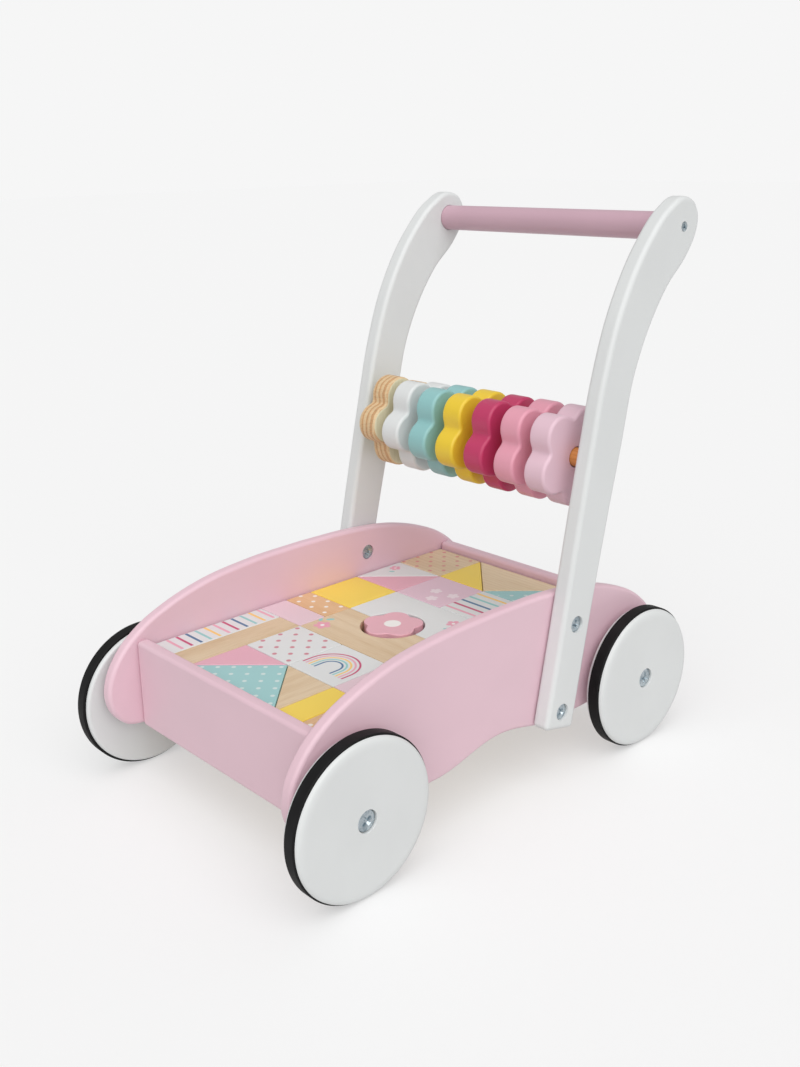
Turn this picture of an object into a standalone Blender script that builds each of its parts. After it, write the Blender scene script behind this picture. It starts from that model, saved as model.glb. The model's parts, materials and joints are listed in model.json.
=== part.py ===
"""Wooden baby walker: a block tray on four wheels with two arms, a push handle and a bead rod.

Lengths are in metres. The origin is on the ground under the middle of the walker. +Z is up,
the front faces -Y, and "left" is the +X side, as seen by the child who pushes.
"""

import math

import bmesh
import bpy
from mathutils import Vector

# Blocks and tray
BLOCK_UNIT = 0.050
BLOCK_HEIGHT = 0.030
BLOCK_ROUNDING = 0.0008
BLOCK_INSET = 0.00025
UNITS_ACROSS = 4
UNITS_ALONG = 6
TRAY_SIDE_SLACK = 0.0013
TRAY_END_SLACK = 0.0015
TRAY_OFFSET = 0.001
FLOOR_LIFT = 0.0311
FLOOR_THICKNESS = 0.005
PEG_HOLE_RADIUS = 0.0247
PEG_SLACK = 0.0012
PEG_RISE = 0.0012
PEG_PETAL_SHARE = 0.44
PEG_TURN = math.radians(54.5)
PEG_PLACE = (2, 3)

# Panels
JOINT_GAP = 0.0003
PANEL_THICKNESS = 0.010
PANEL_ROUNDING = 0.003
SIDE_OVERHANG = 0.0342
SIDE_BELOW_AXLE = 0.0138
SIDE_RISE = 0.0424
ARCH_HALF_WIDTH = 0.0625
ARCH_RISE = 0.010
ARCH_STEPS = 5
END_PANEL_RISE = 0.006

# Wheels
AXLE_SETBACK = 0.0091
TYRE_RADIUS = 0.0555
TYRE_WIDTH = 0.0092
TYRE_THICKNESS = 0.0030
TYRE_ROUNDING = 0.0008
WHEEL_THICKNESS = 0.016
WHEEL_LIP_DROP = 0.0012
WHEEL_FACE_ROUNDING = 0.0065
WHEEL_BACK_ROUNDING = 0.0026
WHEEL_FACE_STEPS = 3
WHEEL_BACK_STEPS = 2
WHEEL_STANDOFF = 0.0055
AXLE_RADIUS = 0.0035
AXLE_RUNNING_CLEARANCE = 0.00012
AXLE_SHOULDER_RADIUS = 0.006
AXLE_END_PLAY = 0.0004
AXLE_HEAD_RADIUS = 0.0072
AXLE_HEAD_HEIGHT = 0.0026
AXLE_HEAD_EDGE = 0.0009
AXLE_HEAD_SINK = 0.0008
AXLE_HEAD_CLEARANCE = 0.0005

# Arms
ARM_THICKNESS = 0.014
ARM_ROUNDING = 0.0036
ARM_TOP = 0.415
ARM_REACH = 0.1642
ARM_WIDTH = 0.034
ARM_FOOT_DROP = 0.0025
ARM_TYRE_GAP = 0.0239
LOWER_BOLT_RISE = 0.0015
UPPER_BOLT_RISE = 0.0177
ARM_BOLT_RADIUS = 0.003
ARM_BOLT_HEAD_RADIUS = 0.006
ARM_BOLT_HEAD_HEIGHT = 0.002
ARM_BOLT_HEAD_SINK = 0.0012
ARM_BOLT_HEAD_EDGE = 0.0005
ARM_BOLT_NUT_SINK = 0.0004
BOLT_CLEARANCE = 0.0003

# Handle
HANDLE_RADIUS = 0.0102
HANDLE_BELOW_TOP = 0.0214
HANDLE_FROM_END = 0.0187
SOCKET_DEPTH = 0.008
SOCKET_CLEARANCE = 0.0003
HANDLE_SCREW_RADIUS = 0.0015
HANDLE_SCREW_HEAD_RADIUS = 0.0035
HANDLE_SCREW_HEAD_HEIGHT = 0.002
HANDLE_SCREW_LENGTH = 0.018

# Bead rod
ROD_RADIUS = 0.007
ROD_HEIGHT = 0.2350
BEAD_THICKNESS = 0.019
BEAD_RADIUS = 0.038
BEAD_PETAL_RADIUS = 0.0155
BEAD_ROUNDING = 0.0022
BEAD_HOLE_CLEARANCE = 0.0007
PETALS = 5
PETAL_BLEND = 8

# Cross recesses, as shares of the screw head
RECESS_REACH = 0.62
RECESS_WIDTH = 0.18
RECESS_DEPTH = 0.45
RECESS_TURN = math.radians(20)

# Facets
WHEEL_STEPS = 36
BOLT_STEPS = 12
ROD_STEPS = 24
BEAD_STEPS = 40
SOFT_SEGMENTS = 2
OUTLINE_STEPS = 2
CORNER_ANGLE = math.radians(50)
SMOOTH_ANGLE = math.radians(35)
MERGE_DISTANCE = 0.00001

# Derived positions
TRAY_HALF_WIDTH = UNITS_ACROSS * BLOCK_UNIT / 2 + TRAY_SIDE_SLACK
TRAY_HALF_LENGTH = UNITS_ALONG * BLOCK_UNIT / 2 + TRAY_END_SLACK
TRAY_FRONT = TRAY_OFFSET - TRAY_HALF_LENGTH
TRAY_REAR = TRAY_OFFSET + TRAY_HALF_LENGTH
HALF_FACET = math.pi / WHEEL_STEPS
AXLE_HEIGHT = TYRE_RADIUS * math.cos(HALF_FACET)
AXLE_HALF_BASE = TRAY_HALF_LENGTH - AXLE_SETBACK
SIDE_HALF_LENGTH = TRAY_HALF_LENGTH + SIDE_OVERHANG
SIDE_BOTTOM = AXLE_HEIGHT - SIDE_BELOW_AXLE
TRAY_FLOOR_TOP = SIDE_BOTTOM + FLOOR_LIFT
BLOCK_BOTTOM = TRAY_FLOOR_TOP + JOINT_GAP
BLOCK_TOP = BLOCK_BOTTOM + BLOCK_HEIGHT
SIDE_TOP = BLOCK_TOP + SIDE_RISE
SIDE_OUTER = TRAY_HALF_WIDTH + PANEL_THICKNESS
ARM_INNER = SIDE_OUTER + JOINT_GAP
ARM_OUTER = ARM_INNER + ARM_THICKNESS
WHEEL_INNER = SIDE_OUTER + WHEEL_STANDOFF
WHEEL_OUTER = WHEEL_INNER + WHEEL_THICKNESS
WHEEL_MIDDLE = (WHEEL_INNER + WHEEL_OUTER) / 2
ARM_BOLT_NUT_SEAT = TRAY_HALF_WIDTH + ARM_BOLT_NUT_SINK + ARM_BOLT_HEAD_HEIGHT
ARM_BOTTOM = SIDE_BOTTOM - ARM_FOOT_DROP
ARM_HEIGHT = ARM_TOP - ARM_BOTTOM
ROD_ROOM = 2 * ARM_INNER

# Outlines as shares of the overall length and height
SIDE_SHAPE = (
    (0.000, 1.000),
    (0.277, 0.986),
    (0.546, 0.923),
    (0.708, 0.834),
    (0.816, 0.745),
    (0.937, 0.564),
    (0.985, 0.419),
    (1.000, 0.275),
    (0.980, 0.140),
    (0.926, 0.039),
    (0.834, 0.000),
)
ARM_FRONT_EDGE = (
    (0.000, 0.019),
    (0.094, 0.200),
    (0.199, 0.407),
    (0.273, 0.547),
    (0.349, 0.680),
    (0.455, 0.803),
    (0.631, 0.921),
    (0.777, 0.980),
)
ARM_END = (
    (0.883, 1.000),
    (0.965, 0.989),
    (1.000, 0.960),
    (0.983, 0.925),
    (0.923, 0.887),
)
# How wide the arm is at a share of its height, as a factor of its usual width
ARM_WIDENING = (
    (0.833, 1.392),
    (0.758, 1.187),
    (0.680, 1.087),
    (0.547, 1.058),
    (0.414, 1.001),
    (0.279, 0.956),
    (0.000, 0.884),
)
ARM_FOOT_WIDTH = ARM_WIDENING[-1][1] * ARM_WIDTH
ARM_FRONT = AXLE_HALF_BASE - TYRE_RADIUS - ARM_TYRE_GAP - ARM_FOOT_WIDTH

# Colours as sRGB, 0 to 1
PINK_PAINT = (0.87, 0.75, 0.79)
HANDLE_PINK = (0.82, 0.68, 0.74)
WHITE_PAINT = (0.85, 0.86, 0.86)
NATURAL_WOOD = (0.84, 0.72, 0.56)
PEACH_WOOD = (0.87, 0.70, 0.53)
ROD_WOOD = (0.80, 0.55, 0.30)
YELLOW = (0.95, 0.78, 0.28)
TEAL = (0.53, 0.75, 0.76)
RASPBERRY = (0.78, 0.27, 0.45)
ROSE = (0.89, 0.60, 0.68)
LIGHT_PINK = (0.91, 0.77, 0.83)
LILAC_PINK = (0.87, 0.74, 0.81)
RUBBER_BLACK = (0.06, 0.05, 0.06)
ZINC = (0.66, 0.72, 0.76)
FLOOR_WOOD = (0.82, 0.71, 0.56)
SATIN = 0.45
MATT = 0.7
POLISHED = 0.3

# The beads from the right arm to the left one: name, share of the rod's spare length left before
# it, angle of a notch between two petals in degrees, and colour
BEADS = (
    ("bead_natural", 0.167, 144, NATURAL_WOOD),
    ("bead_white", 0.090, 151, WHITE_PAINT),
    ("bead_teal", 0.124, 158, TEAL),
    ("bead_yellow", 0.120, 160, YELLOW),
    ("bead_raspberry", 0.126, 160, RASPBERRY),
    ("bead_rose", 0.125, 164, ROSE),
    ("bead_light_pink", 0.115, 167, LIGHT_PINK),
)


def clear_scene():
    for obj in list(bpy.data.objects):
        bpy.data.objects.remove(obj, do_unlink=True)


def new_collection(name, parent):
    collection = bpy.data.collections.new(name)
    parent.children.link(collection)
    return collection


def linear(value):
    if value <= 0.04045:
        return value / 12.92
    return ((value + 0.055) / 1.055) ** 2.4


def paint(obj, colour, roughness=SATIN, metallic=0.0):
    material = bpy.data.materials.new(obj.name)
    material.use_nodes = True
    shader = material.node_tree.nodes["Principled BSDF"]
    base = [linear(channel) for channel in colour]
    shader.inputs["Base Color"].default_value = (*base, 1.0)
    shader.inputs["Roughness"].default_value = roughness
    shader.inputs["Metallic"].default_value = metallic
    obj.data.materials.clear()
    obj.data.materials.append(material)


def smooth_path(points, steps=OUTLINE_STEPS):
    """A smooth curve through the points, with the given steps in each span."""
    points = [Vector(point) for point in points]
    spans = [(b - a).length for a, b in zip(points, points[1:])]
    slopes = [(b - a) / span for a, b, span in zip(points, points[1:], spans)]
    tangents = [slopes[0]]
    for before, after, s0, s1 in zip(spans, spans[1:], slopes, slopes[1:]):
        tangents.append((s0 * after + s1 * before) / (before + after))
    tangents.append(slopes[-1])
    path = []
    for index, span in enumerate(spans):
        for step in range(steps):
            t = step / steps
            start = points[index] * (2 * t**3 - 3 * t**2 + 1)
            start += tangents[index] * span * (t**3 - 2 * t**2 + t)
            end = points[index + 1] * (3 * t**2 - 2 * t**3)
            end += tangents[index + 1] * span * (t**3 - t**2)
            path.append(tuple(start + end))
    path.append(tuple(points[-1]))
    return path


def add_mesh(name, bm, collection, origin=(0.0, 0.0, 0.0)):
    mesh = bpy.data.meshes.new(name)
    bm.to_mesh(mesh)
    bm.free()
    obj = bpy.data.objects.new(name, mesh)
    obj.location = origin
    collection.objects.link(obj)
    return obj


def prism(name, outline, low, high, along, collection, origin=(0.0, 0.0, 0.0)):
    """A solid with the outline as its section, running from low to high along X or Z."""
    bm = bmesh.new()
    rings = []
    for level in (low, high):
        if along == "X":
            rings.append([bm.verts.new((level, a, b)) for a, b in outline])
        else:
            rings.append([bm.verts.new((a, b, level)) for a, b in outline])
    bm.faces.new(rings[0])
    bm.faces.new(rings[1])
    count = len(outline)
    for index in range(count):
        after = (index + 1) % count
        bm.faces.new((rings[0][index], rings[0][after], rings[1][after], rings[1][index]))
    bmesh.ops.recalc_face_normals(bm, faces=bm.faces)
    return add_mesh(name, bm, collection, origin)


def soften(obj, width, segments=SOFT_SEGMENTS):
    bevel = obj.modifiers.new("soft edges", "BEVEL")
    bevel.width = width
    bevel.segments = segments
    bevel.limit_method = "ANGLE"
    bevel.angle_limit = CORNER_ANGLE


def turned(name, profile, steps, origin, outward, collection, ring=False):
    """A turned piece. Its profile runs down its outer side, and its top points outward along X.

    A ring is turned by half a facet, so that a wheel rests on a flat of its rim.
    """
    mesh = bpy.data.meshes.new(name)
    edges = [(index, index + 1) for index in range(len(profile) - 1)]
    if ring:
        edges.append((len(profile) - 1, 0))
    start = (math.cos(HALF_FACET), math.sin(HALF_FACET)) if ring else (1.0, 0.0)
    points = [(radius * start[0], radius * start[1], height) for radius, height in profile]
    mesh.from_pydata(points, edges, [])
    obj = bpy.data.objects.new(name, mesh)
    collection.objects.link(obj)
    screw = obj.modifiers.new("turn", "SCREW")
    screw.axis = "Z"
    screw.angle = 2 * math.pi
    screw.steps = steps
    screw.render_steps = steps
    screw.use_merge_vertices = True
    screw.merge_threshold = MERGE_DISTANCE
    obj.location = origin
    obj.rotation_euler = (0.0, outward * math.pi / 2, 0.0)
    return obj


def cut(obj, *cutters):
    for cutter in cutters:
        boolean = obj.modifiers.new(cutter.name, "BOOLEAN")
        boolean.operation = "DIFFERENCE"
        boolean.solver = "EXACT"
        boolean.object = cutter


def finish(obj):
    """Turns the modified shape into the piece's own mesh, shaded smooth with crisp edges."""
    bpy.context.view_layer.update()
    evaluated = obj.evaluated_get(bpy.context.evaluated_depsgraph_get())
    mesh = bpy.data.meshes.new_from_object(evaluated)
    obj.modifiers.clear()
    obj.data = mesh
    mesh.name = obj.name
    mesh.shade_smooth()
    mesh.set_sharp_from_angle(angle=SMOOTH_ANGLE)


def hidden(cutter):
    cutter.hide_render = True
    cutter.display_type = "WIRE"
    return cutter


def bore(name, radius, start, end, y, z, steps=BOLT_STEPS):
    """A round cutter along X."""
    profile = ((0.0, abs(end - start)), (radius, abs(end - start)), (radius, 0.0), (0.0, 0.0))
    outward = 1 if end > start else -1
    return hidden(turned(name, profile, steps, (start, y, z), outward, cutters))


def cross_recess(name, place, outward, head_radius, head_height):
    """A cutter for the cross in a screw head, sunk from the middle of the head's top."""
    long = head_radius * RECESS_REACH
    thin = head_radius * RECESS_WIDTH
    outline = (
        (long, thin),
        (thin, thin),
        (thin, long),
        (-thin, long),
        (-thin, thin),
        (-long, thin),
        (-long, -thin),
        (-thin, -thin),
        (-thin, -long),
        (thin, -long),
        (thin, -thin),
        (long, -thin),
    )
    depth = head_height * RECESS_DEPTH
    ends = sorted((-outward * depth, outward * depth))
    cutter = prism(name, outline, ends[0], ends[1], "X", cutters, place)
    cutter.rotation_euler = (RECESS_TURN, 0.0, 0.0)
    return hidden(cutter)


def side_outline():
    height = SIDE_TOP - SIDE_BOTTOM
    points = [(a * SIDE_HALF_LENGTH, SIDE_BOTTOM + b * height) for a, b in SIDE_SHAPE]
    half = smooth_path(points)
    for step in range(ARCH_STEPS, 0, -1):
        share = step / ARCH_STEPS
        rise = ARCH_RISE * (1 + math.cos(math.pi * share)) / 2
        half.append((share * ARCH_HALF_WIDTH, SIDE_BOTTOM + rise))
    half.append((0.0, SIDE_BOTTOM + ARCH_RISE))
    return half + [(-y, z) for y, z in reversed(half[1:-1])]


def arm_point(share):
    return (ARM_FRONT + share[0] * ARM_REACH, ARM_BOTTOM + share[1] * ARM_HEIGHT)


def edge_at(edge, height):
    """How far back an edge of the arm is at a height."""
    points = sorted(edge, key=lambda point: point[1])
    for low, high in zip(points, points[1:]):
        if low[1] <= height <= high[1]:
            share = (height - low[1]) / (high[1] - low[1])
            return low[0] + share * (high[0] - low[0])
    return points[0][0]


def arm_front_edge():
    return [arm_point(share) for share in ARM_FRONT_EDGE]


def arm_back_edge():
    front = arm_front_edge()
    edge = []
    for share, factor in ARM_WIDENING:
        height = ARM_BOTTOM + share * ARM_HEIGHT
        edge.append((edge_at(front, height) + factor * ARM_WIDTH, height))
    return edge


def arm_outline():
    end = [arm_point(share) for share in ARM_END]
    return smooth_path(arm_front_edge() + end + arm_back_edge())


def arm_middle(height):
    return (edge_at(arm_front_edge(), height) + edge_at(arm_back_edge(), height)) / 2


def handle_place():
    return (ARM_FRONT + ARM_REACH - HANDLE_FROM_END, ARM_TOP - HANDLE_BELOW_TOP)


def arm_bolt_places():
    heights = (AXLE_HEIGHT + LOWER_BOLT_RISE, BLOCK_TOP + UPPER_BOLT_RISE)
    return [(arm_middle(height), height) for height in heights]


def axle_places():
    return (("front", -AXLE_HALF_BASE), ("rear", AXLE_HALF_BASE))


def sides():
    return (("left", 1), ("right", -1))


def side_panel(side, outward):
    name = "side_panel_" + side
    ends = sorted((outward * TRAY_HALF_WIDTH, outward * SIDE_OUTER))
    panel = prism(name, side_outline(), ends[0], ends[1], "X", walker)
    soften(panel, PANEL_ROUNDING)
    start = outward * (TRAY_HALF_WIDTH - PANEL_THICKNESS)
    end = outward * (SIDE_OUTER + PANEL_THICKNESS)
    nut_seat = outward * (ARM_BOLT_NUT_SEAT + JOINT_GAP)
    for index, (y, z) in enumerate(arm_bolt_places()):
        radius = ARM_BOLT_RADIUS + BOLT_CLEARANCE
        nut = ARM_BOLT_HEAD_RADIUS + BOLT_CLEARANCE
        cut(panel, bore(f"{name}_bolt_hole_{index}", radius, start, end, y, z))
        cut(panel, bore(f"{name}_nut_hole_{index}", nut, start, nut_seat, y, z))
    for place, y in axle_places():
        radius = AXLE_RADIUS + BOLT_CLEARANCE
        cut(panel, bore(f"{name}_axle_hole_{place}", radius, start, end, y, AXLE_HEIGHT))
    finish(panel)
    paint(panel, PINK_PAINT)


def box(name, low, high, rounding, colour):
    outline = ((low[0], low[1]), (high[0], low[1]), (high[0], high[1]), (low[0], high[1]))
    board = prism(name, outline, low[2], high[2], "Z", walker)
    soften(board, rounding)
    finish(board)
    paint(board, colour)


def end_panels():
    half = TRAY_HALF_WIDTH - JOINT_GAP
    top = BLOCK_TOP + END_PANEL_RISE
    front = TRAY_FRONT - PANEL_THICKNESS
    rear = TRAY_REAR + PANEL_THICKNESS
    low = SIDE_BOTTOM
    box("front_panel", (-half, front, low), (half, TRAY_FRONT, top), PANEL_ROUNDING, PINK_PAINT)
    box("rear_panel", (-half, TRAY_REAR, low), (half, rear, top), PANEL_ROUNDING, PINK_PAINT)


def tray_floor():
    half = TRAY_HALF_WIDTH - JOINT_GAP
    low = (-half, TRAY_FRONT + JOINT_GAP, TRAY_FLOOR_TOP - FLOOR_THICKNESS)
    high = (half, TRAY_REAR - JOINT_GAP, TRAY_FLOOR_TOP)
    box("tray_floor", low, high, BLOCK_ROUNDING, FLOOR_WOOD)


def arm(side, outward):
    name = "arm_" + side
    ends = sorted((outward * ARM_INNER, outward * ARM_OUTER))
    piece = prism(name, arm_outline(), ends[0], ends[1], "X", walker)
    soften(piece, ARM_ROUNDING)
    inside = outward * (ARM_INNER - ARM_THICKNESS)
    outside = outward * (ARM_OUTER + ARM_THICKNESS)
    head_seat = outward * (ARM_OUTER - ARM_BOLT_HEAD_SINK - ARM_BOLT_HEAD_HEIGHT - JOINT_GAP)
    for index, (y, z) in enumerate(arm_bolt_places()):
        radius = ARM_BOLT_RADIUS + BOLT_CLEARANCE
        head = ARM_BOLT_HEAD_RADIUS + BOLT_CLEARANCE
        cut(piece, bore(f"{name}_bolt_hole_{index}", radius, inside, outside, y, z))
        cut(piece, bore(f"{name}_head_hole_{index}", head, head_seat, outside, y, z))
    socket_end = outward * (ARM_INNER + SOCKET_DEPTH)
    handle_y, handle_z = handle_place()
    handle = HANDLE_RADIUS + SOCKET_CLEARANCE
    socket = bore(f"{name}_handle_socket", handle, inside, socket_end, handle_y, handle_z, ROD_STEPS)
    cut(piece, socket)
    rod = ROD_RADIUS + SOCKET_CLEARANCE
    rod_y = arm_middle(ROD_HEIGHT)
    cut(piece, bore(f"{name}_rod_socket", rod, inside, socket_end, rod_y, ROD_HEIGHT, ROD_STEPS))
    screw = HANDLE_SCREW_RADIUS + BOLT_CLEARANCE
    cut(piece, bore(f"{name}_screw_hole", screw, inside, outside, handle_y, handle_z))
    cut(piece, handle_screw_sink(f"{name}_countersink", outward))
    finish(piece)
    paint(piece, WHITE_PAINT)


def handle_screw_sink(name, outward):
    """The cone in the arm's outer face that the screw's head lies in."""
    handle_y, handle_z = handle_place()
    wide = HANDLE_SCREW_HEAD_RADIUS + BOLT_CLEARANCE
    narrow = HANDLE_SCREW_RADIUS + BOLT_CLEARANCE
    depth = HANDLE_SCREW_HEAD_HEIGHT + BOLT_CLEARANCE
    profile = ((0.0, JOINT_GAP), (wide, JOINT_GAP), (wide, 0.0), (narrow, -depth), (0.0, -depth))
    place = (outward * ARM_OUTER, handle_y, handle_z)
    return hidden(turned(name, profile, BOLT_STEPS, place, outward, cutters))


def handle_bar():
    handle_y, handle_z = handle_place()
    half = ARM_INNER + SOCKET_DEPTH - SOCKET_CLEARANCE
    profile = ((0.0, half), (HANDLE_RADIUS, half), (HANDLE_RADIUS, -half), (0.0, -half))
    bar = turned("handle_bar", profile, ROD_STEPS, (0.0, handle_y, handle_z), 1, walker)
    for side, outward in sides():
        radius = HANDLE_SCREW_RADIUS + BOLT_CLEARANCE
        deep = outward * (ARM_OUTER - HANDLE_SCREW_LENGTH - BOLT_CLEARANCE)
        outside = outward * (ARM_OUTER + ARM_THICKNESS)
        cut(bar, bore(f"handle_pilot_{side}", radius, deep, outside, handle_y, handle_z))
    finish(bar)
    paint(bar, HANDLE_PINK)


def handle_screw(side, outward):
    handle_y, handle_z = handle_place()
    head = HANDLE_SCREW_HEAD_RADIUS
    neck = -HANDLE_SCREW_HEAD_HEIGHT
    tip = -HANDLE_SCREW_LENGTH
    radius = HANDLE_SCREW_RADIUS
    profile = ((0.0, 0.0), (head, 0.0), (radius, neck), (radius, tip), (0.0, tip))
    place = (outward * ARM_OUTER, handle_y, handle_z)
    screw = turned("handle_screw_" + side, profile, BOLT_STEPS, place, outward, walker)
    cross = cross_recess(f"cross_handle_{side}", place, outward, head, HANDLE_SCREW_HEAD_HEIGHT)
    cut(screw, cross)
    finish(screw)
    paint(screw, ZINC, POLISHED, 1.0)


def arm_bolt(name, side, outward, y, z):
    """A connector bolt through arm and panel. Its sleeve nut has a head of its own inside."""
    top = ARM_OUTER - ARM_BOLT_HEAD_SINK
    under_head = top - ARM_BOLT_HEAD_HEIGHT
    nut_end = ARM_BOLT_NUT_SEAT - ARM_BOLT_HEAD_HEIGHT
    head = ARM_BOLT_HEAD_RADIUS
    edge = head - ARM_BOLT_HEAD_EDGE
    profile = (
        (0.0, top),
        (edge, top),
        (head, top - ARM_BOLT_HEAD_EDGE),
        (head, under_head),
        (ARM_BOLT_RADIUS, under_head),
        (ARM_BOLT_RADIUS, ARM_BOLT_NUT_SEAT),
        (head, ARM_BOLT_NUT_SEAT),
        (head, nut_end + ARM_BOLT_HEAD_EDGE),
        (edge, nut_end),
        (0.0, nut_end),
    )
    bolt = turned(name, profile, BOLT_STEPS, (0.0, y, z), outward, walker)
    for label, level in (("cross", top), ("nut_cross", nut_end)):
        place = (outward * level, y, z)
        cross = cross_recess(f"{name}_{label}", place, outward, head, ARM_BOLT_HEAD_HEIGHT)
        cut(bolt, cross)
    finish(bolt)
    paint(bolt, ZINC, POLISHED, 1.0)


def rounded(start, end, steps):
    """A quarter of an ellipse from a face at start to a side at end, without its end points."""
    points = []
    for step in range(1, steps):
        angle = math.pi / 2 * step / steps
        radius = start[0] + (end[0] - start[0]) * math.sin(angle)
        points.append((radius, start[1] + (end[1] - start[1]) * (1 - math.cos(angle))))
    return points


def wheel_profile():
    half = WHEEL_THICKNESS / 2
    lip = TYRE_RADIUS - WHEEL_LIP_DROP
    groove = TYRE_RADIUS - TYRE_THICKNESS - JOINT_GAP
    band = TYRE_WIDTH / 2 + JOINT_GAP
    face = (lip - WHEEL_FACE_ROUNDING, half)
    back = (lip - WHEEL_BACK_ROUNDING, -half)
    hole = AXLE_RADIUS + AXLE_RUNNING_CLEARANCE
    recess = AXLE_HEAD_RADIUS + AXLE_HEAD_CLEARANCE
    recess_floor = half - AXLE_HEAD_SINK - AXLE_HEAD_HEIGHT - AXLE_END_PLAY
    return (
        (recess, half),
        face,
        *rounded(face, (lip, band), WHEEL_FACE_STEPS),
        (lip, band),
        (groove, band),
        (groove, -band),
        (lip, -band),
        *reversed(rounded(back, (lip, -band), WHEEL_BACK_STEPS)),
        back,
        (hole, -half),
        (hole, recess_floor),
        (recess, recess_floor),
    )


def wheel(name, outward, y):
    place = (outward * WHEEL_MIDDLE, y, AXLE_HEIGHT)
    disc = turned(name, wheel_profile(), WHEEL_STEPS, place, outward, walker, ring=True)
    finish(disc)
    paint(disc, WHITE_PAINT)
    return disc


def tyre(name, outward, y, disc):
    half = TYRE_WIDTH / 2
    inner = TYRE_RADIUS - TYRE_THICKNESS
    edge = TYRE_RADIUS - TYRE_ROUNDING
    profile = (
        (inner, half),
        (edge, half),
        (TYRE_RADIUS, half - TYRE_ROUNDING),
        (TYRE_RADIUS, -half + TYRE_ROUNDING),
        (edge, -half),
        (inner, -half),
    )
    place = (outward * WHEEL_MIDDLE, y, AXLE_HEIGHT)
    band = turned(name, profile, WHEEL_STEPS, place, outward, walker, ring=True)
    finish(band)
    paint(band, RUBBER_BLACK, MATT)
    bpy.context.view_layer.update()
    band.parent = disc
    band.matrix_parent_inverse = disc.matrix_world.inverted()


def wheel_bolt(name, outward, y):
    """The axle: head in the wheel's recess, a shoulder that spaces the wheel, a nut inside."""
    top = WHEEL_OUTER - AXLE_HEAD_SINK
    under_head = top - AXLE_HEAD_HEIGHT
    shoulder_top = WHEEL_INNER - AXLE_END_PLAY
    shoulder_end = SIDE_OUTER + JOINT_GAP
    nut_seat = TRAY_HALF_WIDTH - JOINT_GAP
    nut_end = nut_seat - ARM_BOLT_HEAD_HEIGHT
    head = AXLE_HEAD_RADIUS
    profile = (
        (0.0, top),
        (head - AXLE_HEAD_EDGE, top),
        (head, top - AXLE_HEAD_EDGE),
        (head, under_head),
        (AXLE_RADIUS, under_head),
        (AXLE_RADIUS, shoulder_top),
        (AXLE_SHOULDER_RADIUS, shoulder_top),
        (AXLE_SHOULDER_RADIUS, shoulder_end),
        (AXLE_RADIUS, shoulder_end),
        (AXLE_RADIUS, nut_seat),
        (ARM_BOLT_HEAD_RADIUS, nut_seat),
        (ARM_BOLT_HEAD_RADIUS, nut_end),
        (0.0, nut_end),
    )
    bolt = turned(name, profile, BOLT_STEPS, (0.0, y, AXLE_HEIGHT), outward, walker)
    place = (outward * top, y, AXLE_HEIGHT)
    cut(bolt, cross_recess(name + "_cross", place, outward, head, AXLE_HEAD_HEIGHT))
    finish(bolt)
    paint(bolt, ZINC, POLISHED, 1.0)


def wheels():
    for side, outward in sides():
        for place, y in axle_places():
            disc = wheel(f"wheel_{place}_{side}", outward, y)
            tyre(f"tyre_{place}_{side}", outward, y, disc)
            wheel_bolt(f"wheel_bolt_{place}_{side}", outward, y)


def petal_edge(angle, petal_at, petal_radius):
    """The outline's radius where one petal's circle is crossed at an angle from its middle."""
    inside = petal_radius**2 - (petal_at * math.sin(angle)) ** 2
    if inside < 0 or math.cos(angle) < 0:
        return 0.0
    return petal_at * math.cos(angle) + math.sqrt(inside)


def flower_outline(radius, petal_radius, turn, steps):
    """Five round petals that blend into each other, with the first petal at the turn."""
    outline = []
    pitch = 2 * math.pi / PETALS
    for step in range(steps):
        angle = 2 * math.pi * step / steps
        total = 0.0
        for petal in range(PETALS):
            away = (angle - petal * pitch + math.pi) % (2 * math.pi) - math.pi
            total += petal_edge(away, radius - petal_radius, petal_radius) ** PETAL_BLEND
        reach = total ** (1 / PETAL_BLEND)
        outline.append((reach * math.cos(angle + turn), reach * math.sin(angle + turn)))
    return outline


def bead(name, x, notch_angle, colour):
    turn = math.radians(notch_angle) + math.pi / PETALS
    outline = flower_outline(BEAD_RADIUS, BEAD_PETAL_RADIUS, turn, BEAD_STEPS)
    half = BEAD_THICKNESS / 2
    y = arm_middle(ROD_HEIGHT)
    piece = prism(name, outline, -half, half, "X", walker, (x, y, ROD_HEIGHT))
    soften(piece, BEAD_ROUNDING)
    radius = ROD_RADIUS + BEAD_HOLE_CLEARANCE
    low = x - BEAD_THICKNESS
    high = x + BEAD_THICKNESS
    cut(piece, bore(name + "_hole", radius, low, high, y, ROD_HEIGHT, ROD_STEPS))
    finish(piece)
    paint(piece, colour)


def beads():
    spare = ROD_ROOM - len(BEADS) * BEAD_THICKNESS
    edge = -ARM_INNER
    for name, gap_share, notch_angle, colour in BEADS:
        edge += gap_share * spare
        bead(name, edge + BEAD_THICKNESS / 2, notch_angle, colour)
        edge += BEAD_THICKNESS


def abacus_rod():
    half = ARM_INNER + SOCKET_DEPTH - SOCKET_CLEARANCE
    profile = ((0.0, half), (ROD_RADIUS, half), (ROD_RADIUS, -half), (0.0, -half))
    place = (0.0, arm_middle(ROD_HEIGHT), ROD_HEIGHT)
    rod = turned("abacus_rod", profile, ROD_STEPS, place, 1, walker)
    finish(rod)
    paint(rod, ROD_WOOD)


def inset(corners, amount):
    """Moves each side of a convex, anticlockwise polygon inwards."""
    lines = []
    for start, end in zip(corners, corners[1:] + corners[:1]):
        direction = (Vector(end) - Vector(start)).normalized()
        normal = Vector((-direction.y, direction.x))
        lines.append((Vector(start) + normal * amount, direction))
    moved = []
    for (p, d), (q, e) in zip(lines[-1:] + lines[:-1], lines):
        share = (q - p).cross(e) / d.cross(e)
        moved.append(tuple(p + d * share))
    return moved


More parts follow.
